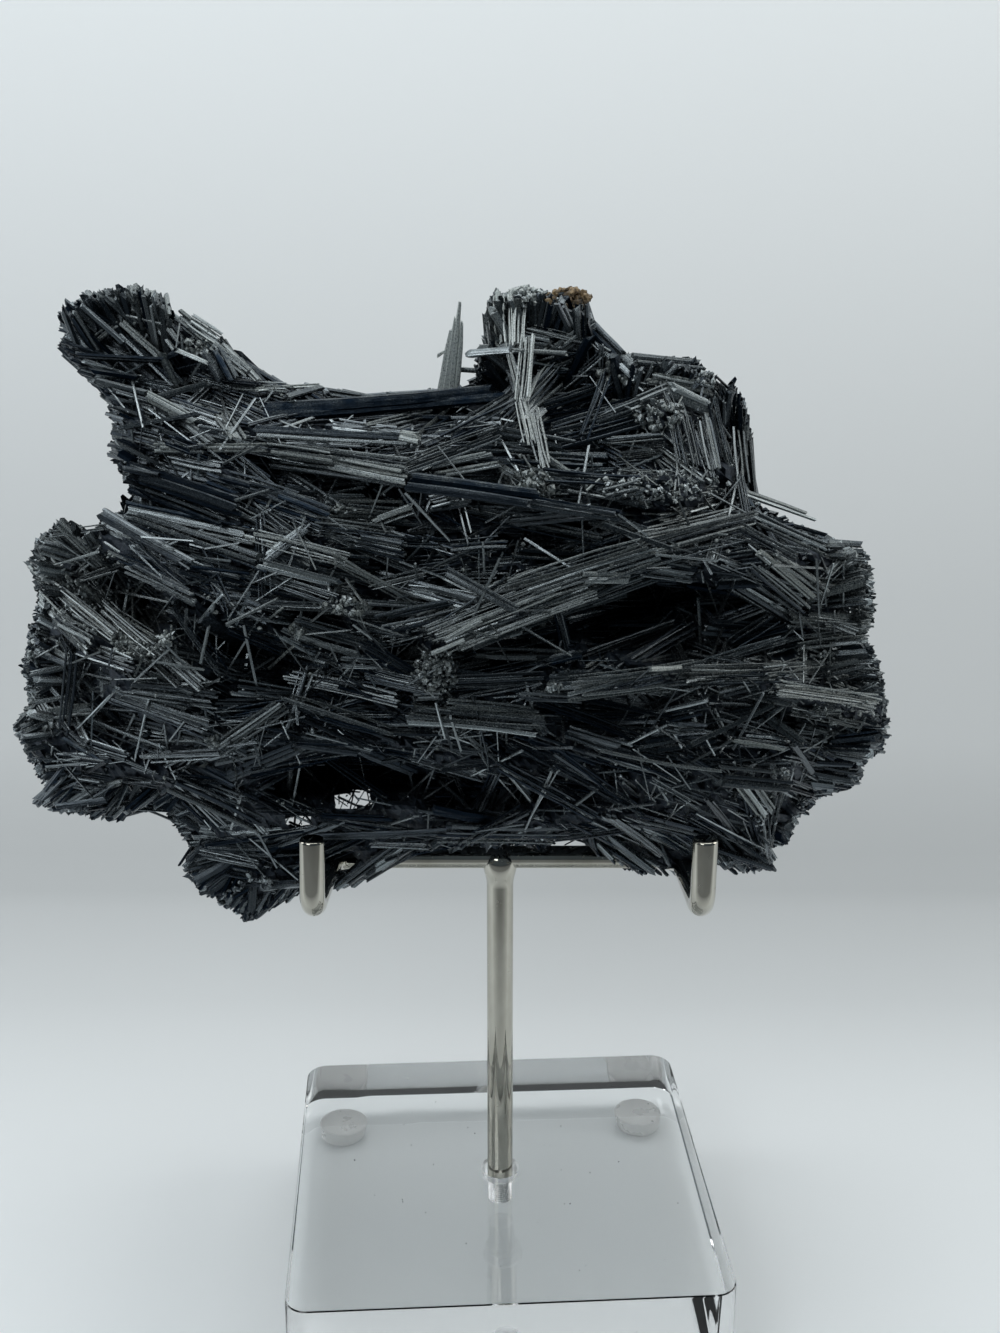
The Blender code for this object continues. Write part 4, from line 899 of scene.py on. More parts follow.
# Sprays of blades that make the rim: the root they fan from, the tips along the outline, depths (mm)
sprays = {
    "plumeHead": ((168, 425), [(56, 342), (64, 306), (98, 292), (136, 286), (162, 296)], 8),
    "plumeSlope": ((290, 408), [(186, 316), (220, 336), (245, 362)], 7),
    "plumeUnderside": ((265, 440), [(80, 372), (106, 396), (108, 420), (109, 455)], 13),
    "upperLeftFan": ((330, 545), [(112, 405), (112, 440), (116, 470), (132, 500)], 18),
    "leftUpperLobe": ((205, 650), [(130, 503), (95, 513), (60, 519), (34, 545), (29, 572), (30, 622)], 14),
    "leftLowerLobe": ((220, 700), [
        (21, 660), (13, 726), (22, 768), (34, 803), (70, 814), (110, 818), (150, 806)], 15),
    "hangingLobe": ((320, 800), [
        (172, 826), (190, 884), (216, 901), (245, 921), (280, 903), (305, 896)], 7),
    "underLeftEdge": ((620, 738), [(330, 892), (362, 878), (398, 858)], 8),
    "underside": ((520, 770), [(430, 856), (460, 855), (560, 850), (622, 864), (690, 875)], 10),
    "rightFoot": ((650, 740), [(716, 861), (745, 872), (775, 867), (791, 840), (820, 801), (861, 779)], 12),
    "rightLowerFan": ((670, 690), [(860, 764), (887, 746), (890, 706), (884, 684), (877, 656)], 15),
    "rightUpperFan": ((680, 590), [(870, 630), (875, 592), (867, 552), (815, 531), (780, 516)], 14),
    "rightColumn": ((735, 520), [(722, 394), (734, 382), (746, 402), (752, 430), (753, 478)], 7),
    "upperRightSlope": ((610, 480), [(592, 312), (626, 345), (660, 356), (701, 361), (719, 379)], 10),
    "tower": ((535, 450), [(484, 302), (495, 289), (521, 288), (548, 293), (478, 352)], 8),
    "saddleEnds": ((420, 450), [(292, 386), (340, 391), (400, 391), (440, 388)], 9),
}
rim = {
    "spacing": 5.0,        # px along the outline
    "layers": 6,
    "length": (6, 17),
    "broken": 0.65,
    "width": (1.0, 2.2),
    "flatness": 0.6,
    "strands": (1, 4),
    "stagger": 0.12,
    "jitter": 0.5,         # mm in from the outline
    "rounding": 0.8,       # mm in at the front and the rear
    "depthJitter": 0.18,
    "turn": 0.22,
    "roll": 0.5,
    "dusted": 0.8,
}


def growRim(rng):
    # blades whose tips make the outline, fanned from the nearest spray's root, through the whole depth
    sides = np.roll(outline, -1, axis=0) - outline
    span = np.linalg.norm(sides, axis=1)
    places = np.concatenate([
        outline[i] + sides[i] * np.linspace(0, 1, max(1, int(span[i] / rim["spacing"])),
                                            endpoint=False)[:, None]
        for i in range(len(outline))])
    tips = np.repeat(places, rim["layers"], axis=0)
    roots, nearest, reach = np.zeros_like(tips), np.full(len(tips), 1e9), np.zeros(len(tips))
    for root, line, depth in sprays.values():
        away = np.linalg.norm(tips[:, None, :] - np.array(line, float), axis=-1).min(axis=1)
        closer = away < nearest
        roots[closer], reach[closer] = root, depth
        nearest = np.minimum(nearest, away)
    layer = np.tile(np.linspace(-1, 1, rim["layers"]), len(places))
    depth = (layer + rng.uniform(-rim["depthJitter"], rim["depthJitter"], len(tips))) * reach
    inward = unit(roots - tips)
    turn = rng.normal(0, rim["turn"], len(tips))
    inward = np.stack((inward[:, 0] * np.cos(turn) - inward[:, 1] * np.sin(turn),
                       inward[:, 0] * np.sin(turn) + inward[:, 1] * np.cos(turn)), axis=1)
    inset = np.abs(rng.normal(0, rim["jitter"], len(tips))) + np.abs(layer) ** 3 * rim["rounding"]
    length = rng.uniform(*rim["length"], len(tips)) * np.where(inShortPlace(tips), rim["broken"], 1.0)
    tipUv = tips + inward * (inset * form["pxPerMm"])[:, None]
    rootUv = tips + inward * ((inset + length) * form["pxPerMm"])[:, None]
    good = (roomInside(rootUv) > 0.8) & ~crossesWindow(tipUv, rootUv)
    tipUv, rootUv, depth = tipUv[good], rootUv[good], depth[good]
    count = len(tipUv)
    high = seenAt(tipUv, depth)
    low = seenAt(rootUv, depth * rng.uniform(0.75, 1.0, count))
    facing = facingAt(tipUv, -1.0, rng, rim["roll"])
    facing[:, 1] = np.sign(depth) * np.abs(facing[:, 1])
    width = rng.uniform(*rim["width"], count)
    strands = rng.integers(*rim["strands"], count)
    made = spreadStrands(rng, low, high, width, width * rim["flatness"], facing, strands,
                         stagger=rim["stagger"])
    which = made[5]
    tone = (rng.random(count) ** 2 * 0.7)[which]
    dust = (dustAt(tipUv) * rim["dusted"])[which]
    return made[:5] + (tone, dust)


needles = {
    "count": 2600, "length": (3, 11), "width": (0.22, 0.55), "flatness": 0.8,
    "lift": (-5.0, 1.6), "holeDrop": 4.0, "dip": 0.9, "roll": 0.5, "tone": (0.3, 0.9), "dust": 0.1,
}


def growNeedles(rng, side, count):
    # single fine needles lying across the bundles at all angles
    tries = count * 3
    u, v = rng.uniform(*form["scatterU"], tries), rng.uniform(*form["scatterV"], tries)
    uv = np.stack((u, v), axis=1)
    uv = uv[(roomInside(uv) > 1.0) & ~inWindow(uv)][:count]
    turn = rng.uniform(0, math.pi, len(uv))
    reach = rng.uniform(*needles["length"], len(uv)) * form["pxPerMm"] / 2
    step = np.stack((np.cos(turn), np.sin(turn)), axis=1) * reach[:, None]
    start, end = uv - step, uv + step
    inside = (roomInside(start) > 0.3) & (roomInside(end) > 0.3)
    uv, start, end = uv[inside], start[inside], end[inside]
    lift = rng.uniform(*needles["lift"], len(uv))
    lift = np.where(inHole(uv) & (side < 0), lift - needles["holeDrop"], lift)
    low = seenAt(start, skinAt(start, side, lift + rng.normal(0, needles["dip"], len(uv))))
    high = seenAt(end, skinAt(end, side, lift + rng.normal(0, needles["dip"], len(uv))))
    width = rng.uniform(*needles["width"], len(uv))
    facing = facingAt(uv, side, rng, needles["roll"])
    tone = rng.uniform(*needles["tone"], len(uv))
    return low, high, width, width * needles["flatness"], facing, tone, dustAt(uv) + needles["dust"]


# Crumbs: small broken grains in patches. Picture place, half sizes (px), how many, size (mm), dust
crumbPatches = {
    "ledge": (360, 509, 30, 6, 70, 0.9, 0.8),
    "middle": (662, 486, 70, 16, 230, 0.9, 0.35),
    "upper": (660, 416, 26, 15, 90, 1.2, 0.6),
    "towerKnobs": (528, 484, 26, 13, 110, 1.3, 0.5),
    "towerTop": (526, 300, 26, 12, 200, 1.1, 0.8),
    "fuzzyKnot": (438, 671, 28, 21, 240, 0.9, 0.5),
    "lumpyLedge": (347, 607, 35, 8, 130, 1.0, 0.6),
    "flatLump": (299, 630, 12, 5, 22, 1.5, 0.6),
    "leftPatch": (37, 642, 10, 24, 60, 1.1, 0.4),
    "towerFace": (550, 313, 30, 15, 170, 1.2, 0.45),
    "towerSide": (611, 380, 15, 17, 60, 1.3, 0.7),
    "plume": (196, 347, 15, 8, 44, 1.0, 0.7),
    "leftCluster": (90, 590, 46, 40, 170, 0.8, 0.6),
    "leftTan": (140, 632, 34, 26, 260, 0.9, 0.75),
    "rightFan": (846, 690, 36, 60, 160, 0.7, 0.5),
    "saddleOne": (281, 382, 12, 5, 26, 1.0, 0.4),
    "saddleTwo": (341, 392, 11, 4, 22, 0.9, 0.4),
    "topEnd": (706, 378, 10, 7, 26, 1.0, 0.5),
    "columnFoot": (748, 505, 12, 16, 50, 0.9, 0.4),
    "prismKnob": (556, 688, 9, 5, 24, 1.4, 0.5),
    "leftKnob": (131, 502, 9, 5, 18, 1.2, 0.1),
    "endKnot": (780, 776, 8, 11, 30, 0.9, 0.4),
    "hangingTip": (246, 892, 32, 18, 150, 1.1, 0.05),
    "underRight": (760, 838, 26, 24, 90, 1.0, 0.1),
    "lobeEdge": (38, 712, 18, 20, 70, 1.1, 0.35),
    "leftRunEnd": (212, 742, 7, 6, 20, 1.0, 0.5),
}
goldenRatio = (1 + 5 ** 0.5) / 2
lumpPoints = unit(np.array([
    (-1, goldenRatio, 0), (1, goldenRatio, 0), (-1, -goldenRatio, 0), (1, -goldenRatio, 0),
    (0, -1, goldenRatio), (0, 1, goldenRatio), (0, -1, -goldenRatio), (0, 1, -goldenRatio),
    (goldenRatio, 0, -1), (goldenRatio, 0, 1), (-goldenRatio, 0, -1), (-goldenRatio, 0, 1)], float))


def lumpFaces():
    # the twenty triangles of the twelve points, turned outward
    faces = []
    for a in range(12):
        for b in range(a + 1, 12):
            for c in range(b + 1, 12):
                trio = lumpPoints[[a, b, c]]
                spans = [np.linalg.norm(trio[i] - trio[i - 1]) for i in range(3)]
                if max(spans) < 1.2:
                    out = np.dot(np.cross(trio[1] - trio[0], trio[2] - trio[0]), trio.mean(axis=0)) > 0
                    faces.append((a, b, c) if out else (a, c, b))
    return np.array(faces)


lumpTriangles = lumpFaces()


def randomTurns(rng, count):
    axes = unit(rng.normal(0, 1, (count, 3)))
    other = unit(np.cross(axes, rng.normal(0, 1, (count, 3))))
    return np.stack((axes, other, np.cross(axes, other)), axis=1)


def growCrumbs(rng, centre, size, dust):
    # uneven grains at the centres; sizes in mm
    count = len(centre)
    shape = lumpPoints[None] * rng.uniform(0.6, 1.25, (count, 12, 1)) * rng.uniform(0.5, 1.2, (count, 1, 3))
    points = centre[:, None, :] + (shape @ randomTurns(rng, count)) * (size / 2 * mm)[:, None, None]
    faces = (lumpTriangles[None] + (np.arange(count) * 12)[:, None, None]).reshape(-1, 3)
    grain = points / mm + rng.uniform(0, 100, (count, 1, 1))
    tone = np.repeat(rng.uniform(0.2, 0.9, count), 12)
    dusts = np.repeat(np.clip(dust + rng.normal(0, 0.15, count), 0, 1.2), 12)
    return points.reshape(-1, 3), faces, grain.reshape(-1, 3), tone, dusts


def patchCentres(rng, patch, side, lift=(-0.8, 1.6)):
    u, v, wide, high, count = patch[:5]
    turn = rng.uniform(0, 2 * math.pi, count)
    reach = np.sqrt(rng.random(count))
    uv = np.stack((u + np.cos(turn) * reach * wide, v + np.sin(turn) * reach * high), axis=1)
    rise = rng.uniform(*lift, count) + (1 - reach) * 1.2
    return uv, seenAt(uv, skinAt(uv, side, rise))


# Materials

stibniteLook = {
    "dark": (0.0055, 0.012, 0.022),
    "silver": (0.54, 0.605, 0.635),
    "dust": (0.35, 0.385, 0.36),
    "metallic": 0.95,
    "rough": (0.12, 0.30),
    "striation": 0.00007,
    "edgeDust": 0.34,
}


def makeStibnite(name, look):
    material, tree, shader = startMaterial(name)
    grain = readAttribute(tree, "grain", "Vector")
    tone = readAttribute(tree, "tone", "Fac")
    dust = readAttribute(tree, "dust", "Fac")
    lines = stretchedNoise(tree, grain, (9.0, 0.10, 1.0), 1.0, 4.0, 0.65)
    patches = stretchedNoise(tree, grain, (0.7, 0.35, 1.0), 1.0, 3.0, 0.6)
    speckle = stretchedNoise(tree, grain, (3.0, 2.2, 1.0), 1.6, 4.0, 0.7)
    shade = calc(tree, "MULTIPLY", tone, remap(tree, lines, 0.3, 0.75, (0.35, 1.35)), clamp=True)
    silver = calc(tree, "POWER", shade, 1.7)
    metal = blendColours(tree, silver, look["dark"], look["silver"])
    geometry = addNode(tree, "ShaderNodeNewGeometry")
    split = addNode(tree, "ShaderNodeSeparateXYZ")
    tree.links.new(geometry.outputs["Normal"], split.inputs["Vector"])
    upward = remap(tree, split.outputs["Z"], 0.15, 0.95, (0.0, look["edgeDust"]))
    settled = calc(tree, "MULTIPLY", upward, remap(tree, patches, 0.35, 0.7), clamp=True)
    laid = calc(tree, "ADD", dust, settled)
    broken = remap(tree, speckle, 0.38, 0.66, (0.12, 1.1))
    dusty = calc(tree, "MULTIPLY", laid, broken, clamp=True)
    colour = blendColours(tree, dusty, metal, look["dust"])
    tree.links.new(colour, shader.inputs["Base Color"])
    tree.links.new(remap(tree, dusty, 0.0, 1.0, (look["metallic"], 0.12)), shader.inputs["Metallic"])
    polish = remap(tree, speckle, 0.3, 0.7, look["rough"])
    rough = calc(tree, "ADD", polish, calc(tree, "MULTIPLY", dusty, 0.25))
    tree.links.new(rough, shader.inputs["Roughness"])
    bump = addNode(tree, "ShaderNodeBump", {"Strength": 0.8, "Distance": look["striation"]})
    height = calc(tree, "ADD", lines, calc(tree, "MULTIPLY", speckle, 0.35))
    tree.links.new(height, bump.inputs["Height"])
    tree.links.new(bump.outputs["Normal"], shader.inputs["Normal"])
    return material


stibnite = makeStibnite("stibnite", stibniteLook)
dullStibnite = makeStibnite("stibniteDull", {**stibniteLook, "dust": (0.55, 0.60, 0.57), "metallic": 0.7})


def makeHeartLook():
    material, tree, shader = startMaterial("stibniteDeep")
    place = addNode(tree, "ShaderNodeTexCoord").outputs["Object"]
    fine = stretchedNoise(tree, place, (1.0, 1.0, 1.0), 900.0, 4.0, 0.7)
    colour = blendColours(tree, remap(tree, fine, 0.35, 0.75), (0.009, 0.015, 0.025), (0.042, 0.058, 0.077))
    tree.links.new(colour, shader.inputs["Base Color"])
    tree.links.new(remap(tree, fine, 0.3, 0.7, (0.4, 0.75)), shader.inputs["Roughness"])
    shader.inputs["Metallic"].default_value = 0.5
    bump = addNode(tree, "ShaderNodeBump", {"Strength": 0.9, "Distance": 0.0004})
    tree.links.new(fine, bump.inputs["Height"])
    tree.links.new(bump.outputs["Normal"], shader.inputs["Normal"])
    return material


def makeOchre():
    material, tree, shader = startMaterial("ochreMatrix")
    place = addNode(tree, "ShaderNodeTexCoord").outputs["Object"]
    broad = stretchedNoise(tree, place, (1.0, 1.0, 1.0), 420.0, 3.0, 0.6)
    fine = stretchedNoise(tree, place, (1.0, 1.0, 1.0), 1600.0, 4.0, 0.7)
    warm = blendColours(tree, remap(tree, fine, 0.35, 0.7), (0.10, 0.064, 0.032), (0.44, 0.32, 0.17))
    colour = blendColours(tree, remap(tree, broad, 0.45, 0.62), warm, (0.045, 0.040, 0.034))
    tree.links.new(colour, shader.inputs["Base Color"])
    tree.links.new(remap(tree, fine, 0.3, 0.7, (0.55, 0.85)), shader.inputs["Roughness"])
    bump = addNode(tree, "ShaderNodeBump", {"Strength": 0.8, "Distance": 0.0002})
    tree.links.new(fine, bump.inputs["Height"])
    tree.links.new(bump.outputs["Normal"], shader.inputs["Normal"])
    return material


# The cluster

def ownCluster(piece):
    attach(piece, "root")
    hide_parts("stibnite_cluster")


heart = {
    "step": 5.0,           # pixels between its points
    "u": (6, 900),
    "v": (280, 930),
    "thinnest": 0.4,       # mm from its middle to its skins
    "edge": 0.9,           # mm in from the outline
    "sink": (2.6, 3.0),    # mm under the skin, front and rear
    "uneven": 1.3,
    "holeDrop": 4.0,
    "seed": 3,
}


def makeHeart():
    # the dark grown-together inside: a skin under the crystals, front and rear, with the windows left open
    rng = np.random.default_rng(heart["seed"])
    u, v = np.meshgrid(np.arange(*heart["u"], heart["step"]), np.arange(*heart["v"], heart["step"]))
    shape = u.shape
    uv = np.stack((u.ravel(), v.ravel()), axis=1)
    uv = uv + rng.uniform(-0.3, 0.3, uv.shape) * heart["step"]
    inside = (roomInside(uv) > heart["edge"]) & ~inWindow(uv)
    sunk = [-heart["sink"][k] + rng.uniform(-1, 1, len(uv)) * heart["uneven"] for k in (0, 1)]
    front = skinAt(uv, -1.0, sunk[0] - inHole(uv) * heart["holeDrop"])
    rear = skinAt(uv, 1.0, sunk[1])
    middle, half = (front + rear) / 2, np.maximum((rear - front) / 2, heart["thinnest"])
    points = np.concatenate((seenAt(uv, middle - half), seenAt(uv, middle + half)))
    index = np.arange(len(uv)).reshape(shape)
    quads = np.stack((index[:-1, :-1], index[:-1, 1:], index[1:, 1:], index[1:, :-1]), -1).reshape(-1, 4)
    quads = quads[inside[quads].all(axis=1)]
    sides = {}
    for quad in quads:
        for a, b in zip(quad, np.roll(quad, -1)):
            sides[(int(a), int(b))] = (int(b), int(a)) not in sides and sides.get((int(a), int(b)), True)
            if (int(b), int(a)) in sides:
                sides[(int(b), int(a))] = False
    walls = np.array([(b, a, a + len(uv), b + len(uv)) for (a, b), single in sides.items() if single])
    every = np.concatenate((quads, quads[:, ::-1] + len(uv), walls))
    triangles = np.concatenate((every[:, [0, 1, 2]], every[:, [0, 2, 3]]))
    piece = meshFrom("stibnite_heart", points, triangles, makeHeartLook())
    bm = bmesh.new()
    bm.from_mesh(piece.data)
    bmesh.ops.delete(bm, geom=[v for v in bm.verts if not v.link_faces], context="VERTS")
    bmesh.ops.recalc_face_normals(bm, faces=bm.faces)
    bm.to_mesh(piece.data)
    bm.free()
    ownCluster(piece)
    print("stibnite_heart", len(piece.data.polygons), "triangles")


makeHeart()

bigRng = np.random.default_rng(41)
blocky = named[:, 7] <= 3
pale = np.array([name.startswith(("towerFibre", "splinter")) for name in namedCrystals])
frontNamed = [
    sweepStrands(bigRng, *growNamed(bigRng, named[blocky & ~pale]),
                 sides=10, rings=4, groove=0.13, bend=0.006),
    sweepStrands(bigRng, *growNamed(bigRng, named[~blocky & ~pale]), sides=8, rings=4, bend=0.012),
]
ownCluster(joinChunks("front_crystals", frontNamed, stibnite))
ownCluster(joinChunks("pale_fibres", [
    sweepStrands(bigRng, *growNamed(bigRng, named[pale]), sides=8, rings=4, bend=0.012),
], dullStibnite))

fieldRng = np.random.default_rng(7)
ownCluster(joinChunks("front_bundles", [
    sweepStrands(fieldRng, *growField(fieldRng, -1.0, frontUpper), sides=6, rings=3),
], stibnite))
ownCluster(joinChunks("front_inner_bundles", [
    sweepStrands(fieldRng, *growField(fieldRng, -1.0, frontDeep), sides=6, rings=2),
], stibnite))

rearRng = np.random.default_rng(23)
rearRows = named[(named[:, 5] > 1.5) & (np.linalg.norm(named[:, 2:4] - named[:, 0:2], axis=1) > 60)]
rearShift = rearRng.uniform(-14, 14, (len(rearRows), 2))
ownCluster(joinChunks("rear_bundles", [
    sweepStrands(rearRng, *growField(rearRng, 1.0, rearUpper), sides=6, rings=3),
    sweepStrands(rearRng, *growNamed(rearRng, rearRows, 1.0, rearShift), sides=8, rings=3),
], stibnite))

rimRng = np.random.default_rng(19)
ownCluster(joinChunks("rim_blades", [
    sweepStrands(rimRng, *growRim(rimRng), sides=6, rings=2, taper=0.9),
], stibnite))

needleRng = np.random.default_rng(5)
ownCluster(joinChunks("fine_needles", [
    sweepStrands(needleRng, *growNeedles(needleRng, side, needles["count"]), sides=4, rings=2, bend=0.0)
    for side in (-1.0, 1.0)
], stibnite))

# The free-standing spike, drawn to a point at its top
spike = {
    "strands": [((440, 394), (451, 330)), ((445, 394), (456, 318)), ((451, 394), (460, 304)),
                ((456, 394), (462, 322)), ((443, 394), (448, 350)), ((437, 356), (445, 351))],
    "width": (1.3, 1.4, 1.4, 1.1, 1.2, 0.7),
    "flatness": 0.8,
    "depth": -5.0,         # mm from the post's axis
    "facing": (0.1, -1.0, 0.1),
    "dust": 0.9,
    "tip": 1.2,
    "seed": 2,
}


def makeSpike():
    rng = np.random.default_rng(spike["seed"])
    low = seenAt([s[0] for s in spike["strands"]], spike["depth"])
    high = seenAt([s[1] for s in spike["strands"]], spike["depth"])
    count = len(spike["strands"])
    width = np.array(spike["width"])
    facing = unit(np.tile(spike["facing"], (count, 1)))
    return sweepStrands(rng, low, high, width, width * spike["flatness"], facing,
                        np.full(count, spike["dust"]), np.full(count, spike["tip"]),
                        sides=8, rings=4, taper=0.7, bend=0.004, point=0.35, rooted=False)


ownCluster(joinChunks("spike", [makeSpike()], dullStibnite))

# Grains: in the patches above, and loose ones over the whole mass
crumbs = {
    "sides": ((-1.0, 1.0), (1.0, 0.5)),    # front or rear, share of a patch
    "spread": (0.45, 1.3),
    "slack": 1.0,                          # mm from the mass
    "looseCount": 900,
    "looseDepth": (-1.5, 1.2),
    "looseSize": (0.3, 0.9),
    "looseDust": (0.0, 0.9),
    "seed": 11,
}


def makeCrumbs():
    rng = np.random.default_rng(crumbs["seed"])
    count = crumbs["looseCount"]
    chunks = []
    for side, share in crumbs["sides"]:
        for patch in crumbPatches.values():
            fewer = patch[:4] + (int(patch[4] * share),) + patch[5:]
            uv, centre = patchCentres(rng, fewer, side)
            inside = (roomInside(uv) > 0.2) & touchesMass(centre, crumbs["slack"])
            size = fewer[5] * rng.uniform(*crumbs["spread"], len(uv))
            chunks.append(growCrumbs(rng, centre[inside], size[inside], np.full(inside.sum(), fewer[6])))
        u, v = rng.uniform(*form["scatterU"], count), rng.uniform(*form["scatterV"], count)
        uv = np.stack((u, v), axis=1)
        uv = uv[(roomInside(uv) > 0.6) & ~inWindow(uv)]
        centre = seenAt(uv, skinAt(uv, side, rng.uniform(*crumbs["looseDepth"], len(uv))))
        centre = centre[touchesMass(centre, crumbs["slack"])]
        chunks.append(growCrumbs(rng, centre, rng.uniform(*crumbs["looseSize"], len(centre)),
                                 rng.uniform(*crumbs["looseDust"], len(centre))))
    return chunks


ownCluster(joinChunks("crumbs", makeCrumbs(), stibnite))

# Lumps of grown-together grains on the tower's top: picture place and half sizes (px),
# how many, size (mm), dust, depths from the post's axis (mm)
topLumps = {
    "ochre_lump": {
        "place": (567, 299, 23, 10), "count": 420, "size": 1.05, "dust": 0.0, "depth": (-10.5, 4.0),
        "slack": 1.8, "seed": 13},
    "grey_lump": {
        "place": (526, 299, 20, 12), "count": 380, "size": 1.0, "dust": 0.8, "depth": (-10.0, 4.0),
        "slack": 1.8, "seed": 13},
}


def makeTopLump(name, lump, material):
    rng = np.random.default_rng(lump["seed"])
    u, v, wide, high = lump["place"]
    count = lump["count"]
    turn = rng.uniform(0, 2 * math.pi, count)
    reach = np.sqrt(rng.random(count))
    uv = np.stack((u + np.cos(turn) * reach * wide, v + np.sin(turn) * reach * high), axis=1)
    centre = seenAt(uv, rng.uniform(*lump["depth"], count) * (1 - 0.3 * reach))
    centre = centre[touchesMass(centre, lump["slack"])]
    size = lump["size"] * rng.uniform(0.5, 1.6, len(centre))
    return joinChunks(name, [growCrumbs(rng, centre, size, np.full(len(centre), lump["dust"]))], material)


ownCluster(makeTopLump("ochre_lump", topLumps["ochre_lump"], makeOchre()))
ownCluster(makeTopLump("grey_lump", topLumps["grey_lump"], dullStibnite))


# The chrome stand

def makeChrome():
    material, tree, shader = startMaterial("chromePlate")
    place = addNode(tree, "ShaderNodeTexCoord").outputs["Object"]
    haze = stretchedNoise(tree, place, (1.0, 1.0, 0.35), 260.0, 3.0, 0.6)
    specks = stretchedNoise(tree, place, (1.0, 1.0, 1.0), 1500.0, 2.0, 0.5)
    colour = blendColours(tree, remap(tree, haze, 0.35, 0.7), (0.475, 0.462, 0.41), (0.38, 0.365, 0.315))
    tree.links.new(colour, shader.inputs["Base Color"])
    shader.inputs["Metallic"].default_value = 1.0
    dulled = remap(tree, haze, 0.35, 0.75, (0.02, 0.09))
    rough = calc(tree, "ADD", dulled, remap(tree, specks, 0.66, 0.74, (0.0, 0.3)))
    tree.links.new(rough, shader.inputs["Roughness"])
    bump = addNode(tree, "ShaderNodeBump", {"Strength": 0.25, "Distance": 0.00003})
    tree.links.new(haze, bump.inputs["Height"])
    tree.links.new(bump.outputs["Normal"], shader.inputs["Normal"])
    return material


chrome = makeChrome()


def gridSurface(name, rings, material, node):
    # a closed skin over rings of points (rings, sides, 3), its ends closed to their middles
    count, sides = rings.shape[:2]
    points = np.concatenate((rings.reshape(-1, 3), rings[0].mean(0)[None], rings[-1].mean(0)[None]))
    index = np.arange(count * sides).reshape(count, sides)
    following = np.roll(index, -1, axis=1)
    a, b, c, d = index[:-1], following[:-1], following[1:], index[1:]
    walls = np.concatenate((np.stack((a, b, c), -1).reshape(-1, 3), np.stack((a, c, d), -1).reshape(-1, 3)))
    first = np.stack((np.full(sides, count * sides), following[0], index[0]), -1)
    last = np.stack((np.full(sides, count * sides + 1), index[-1], following[-1]), -1)
    piece = meshFrom(name, points, np.concatenate((walls, first, last)), material, smooth=True)
    bm = bmesh.new()
    bm.from_mesh(piece.data)
    bmesh.ops.recalc_face_normals(bm, faces=bm.faces)
    bm.to_mesh(piece.data)
    bm.free()
    piece.data.set_sharp_from_angle(angle=math.radians(38))
    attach(piece, "root")
    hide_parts(node)
    print(name, len(piece.data.polygons), "triangles")
    return piece


def turned(profile, sides, centre=(0.0, 0.0)):
    # rings of points from (radius, height) pairs
    angle = 2 * math.pi * np.arange(sides) / sides
    return np.array([
        np.stack((centre[0] + r * np.cos(angle), centre[1] + r * np.sin(angle), np.full(sides, z)), axis=1)
        for r, z in profile])


def makeCradle():
    path = cradlePath(14)
    tangent = unit(np.gradient(path, axis=0))
    side = np.cross(tangent[0], (0.0, 1.0, 0.0))
    angle = 2 * math.pi * np.arange(cradle["sides"]) / cradle["sides"]
    radius = cradle["rodRadius"] * mm
    edge = cradle["endEdge"] * mm
    rings = []
    for i, point in enumerate(path):
        side = unit(side - tangent[i] * (side @ tangent[i]))
        other = np.cross(tangent[i], side)
        circle = np.cos(angle)[:, None] * side + np.sin(angle)[:, None] * other
        if i in (0, len(path) - 1):
            way = 1 if i == 0 else -1
            quarter = [math.pi / 8 * k for k in range(5)]
            soft = [(radius - edge * (1 - math.sin(a)), edge * (1 - math.cos(a))) for a in quarter]
            for r, back in soft[::way]:
                rings.append(point + tangent[i] * way * back + circle * r)
        else:
            rings.append(point + circle * radius)
    return gridSurface("cradle_rod", np.array(rings), chrome, "cradle")


makeCradle()

postShape = {
    "shaft": 2.38,
    "thread": 2.0,
    "threadDepth": 0.42,
    "pitch": 0.9,
    "threadTop": 3.2,      # below the block's top
    "chamfer": 0.25,
    "neck": 5.2,           # below the rod's axis, where the weld begins
    "swell": 4.0,          # height over which it widens
    "bead": 3.05,
    "beadTop": 2.35,       # over the rod's axis
    "sides": 48,
}


def makePost():
    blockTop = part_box("acrylic_block")[1].z
    foot = postLow.z
    shoulder = blockTop - postShape["threadTop"] * mm
    angle = 2 * math.pi * np.arange(postShape["sides"]) / postShape["sides"]
    rings = []

    def ring(radius, height):
        rings.append(np.stack((postX + radius * np.cos(angle), postY + radius * np.sin(angle),
                               np.full(len(angle), height)), axis=1))

    pitch = postShape["pitch"] * mm
    ring(postShape["thread"] * mm * 0.72, foot)
    rows = int((shoulder - foot - 0.6 * mm) / pitch * 10)
    for height in np.linspace(foot + 0.3 * mm, shoulder - 0.3 * mm, rows):
        phase = (height / pitch - angle / (2 * math.pi)) % 1.0
        ring((postShape["thread"] - postShape["threadDepth"] * np.abs(phase * 2 - 1)) * mm, height)
    shaft = postShape["shaft"] * mm
    ring(shaft - postShape["chamfer"] * mm, shoulder)
    ring(shaft, shoulder + postShape["chamfer"] * mm)
    rodHeight = cradle["rodHeight"] * mm
    top = rodHeight + postShape["beadTop"] * mm
    bead = postShape["bead"] * mm
    neck = rodHeight - postShape["neck"] * mm
    ring(shaft, neck)
    for share in np.linspace(0.1, 1.0, 9):  # the weld swells out of the shaft and closes over the rod
        swell = share * share * (3 - 2 * share)
        ring(shaft + (bead - shaft) * swell, neck + share * postShape["swell"] * mm)
    waist = neck + postShape["swell"] * mm
    for turn in np.linspace(0.12, 0.97, 11) * math.pi / 2:
        ring(bead * math.cos(turn), waist + (top - waist) * math.sin(turn))
    ring(0.02 * mm, top)
    return gridSurface("post_rod", np.array(rings), chrome, "post")


makePost()


# The clear block and its bumpers

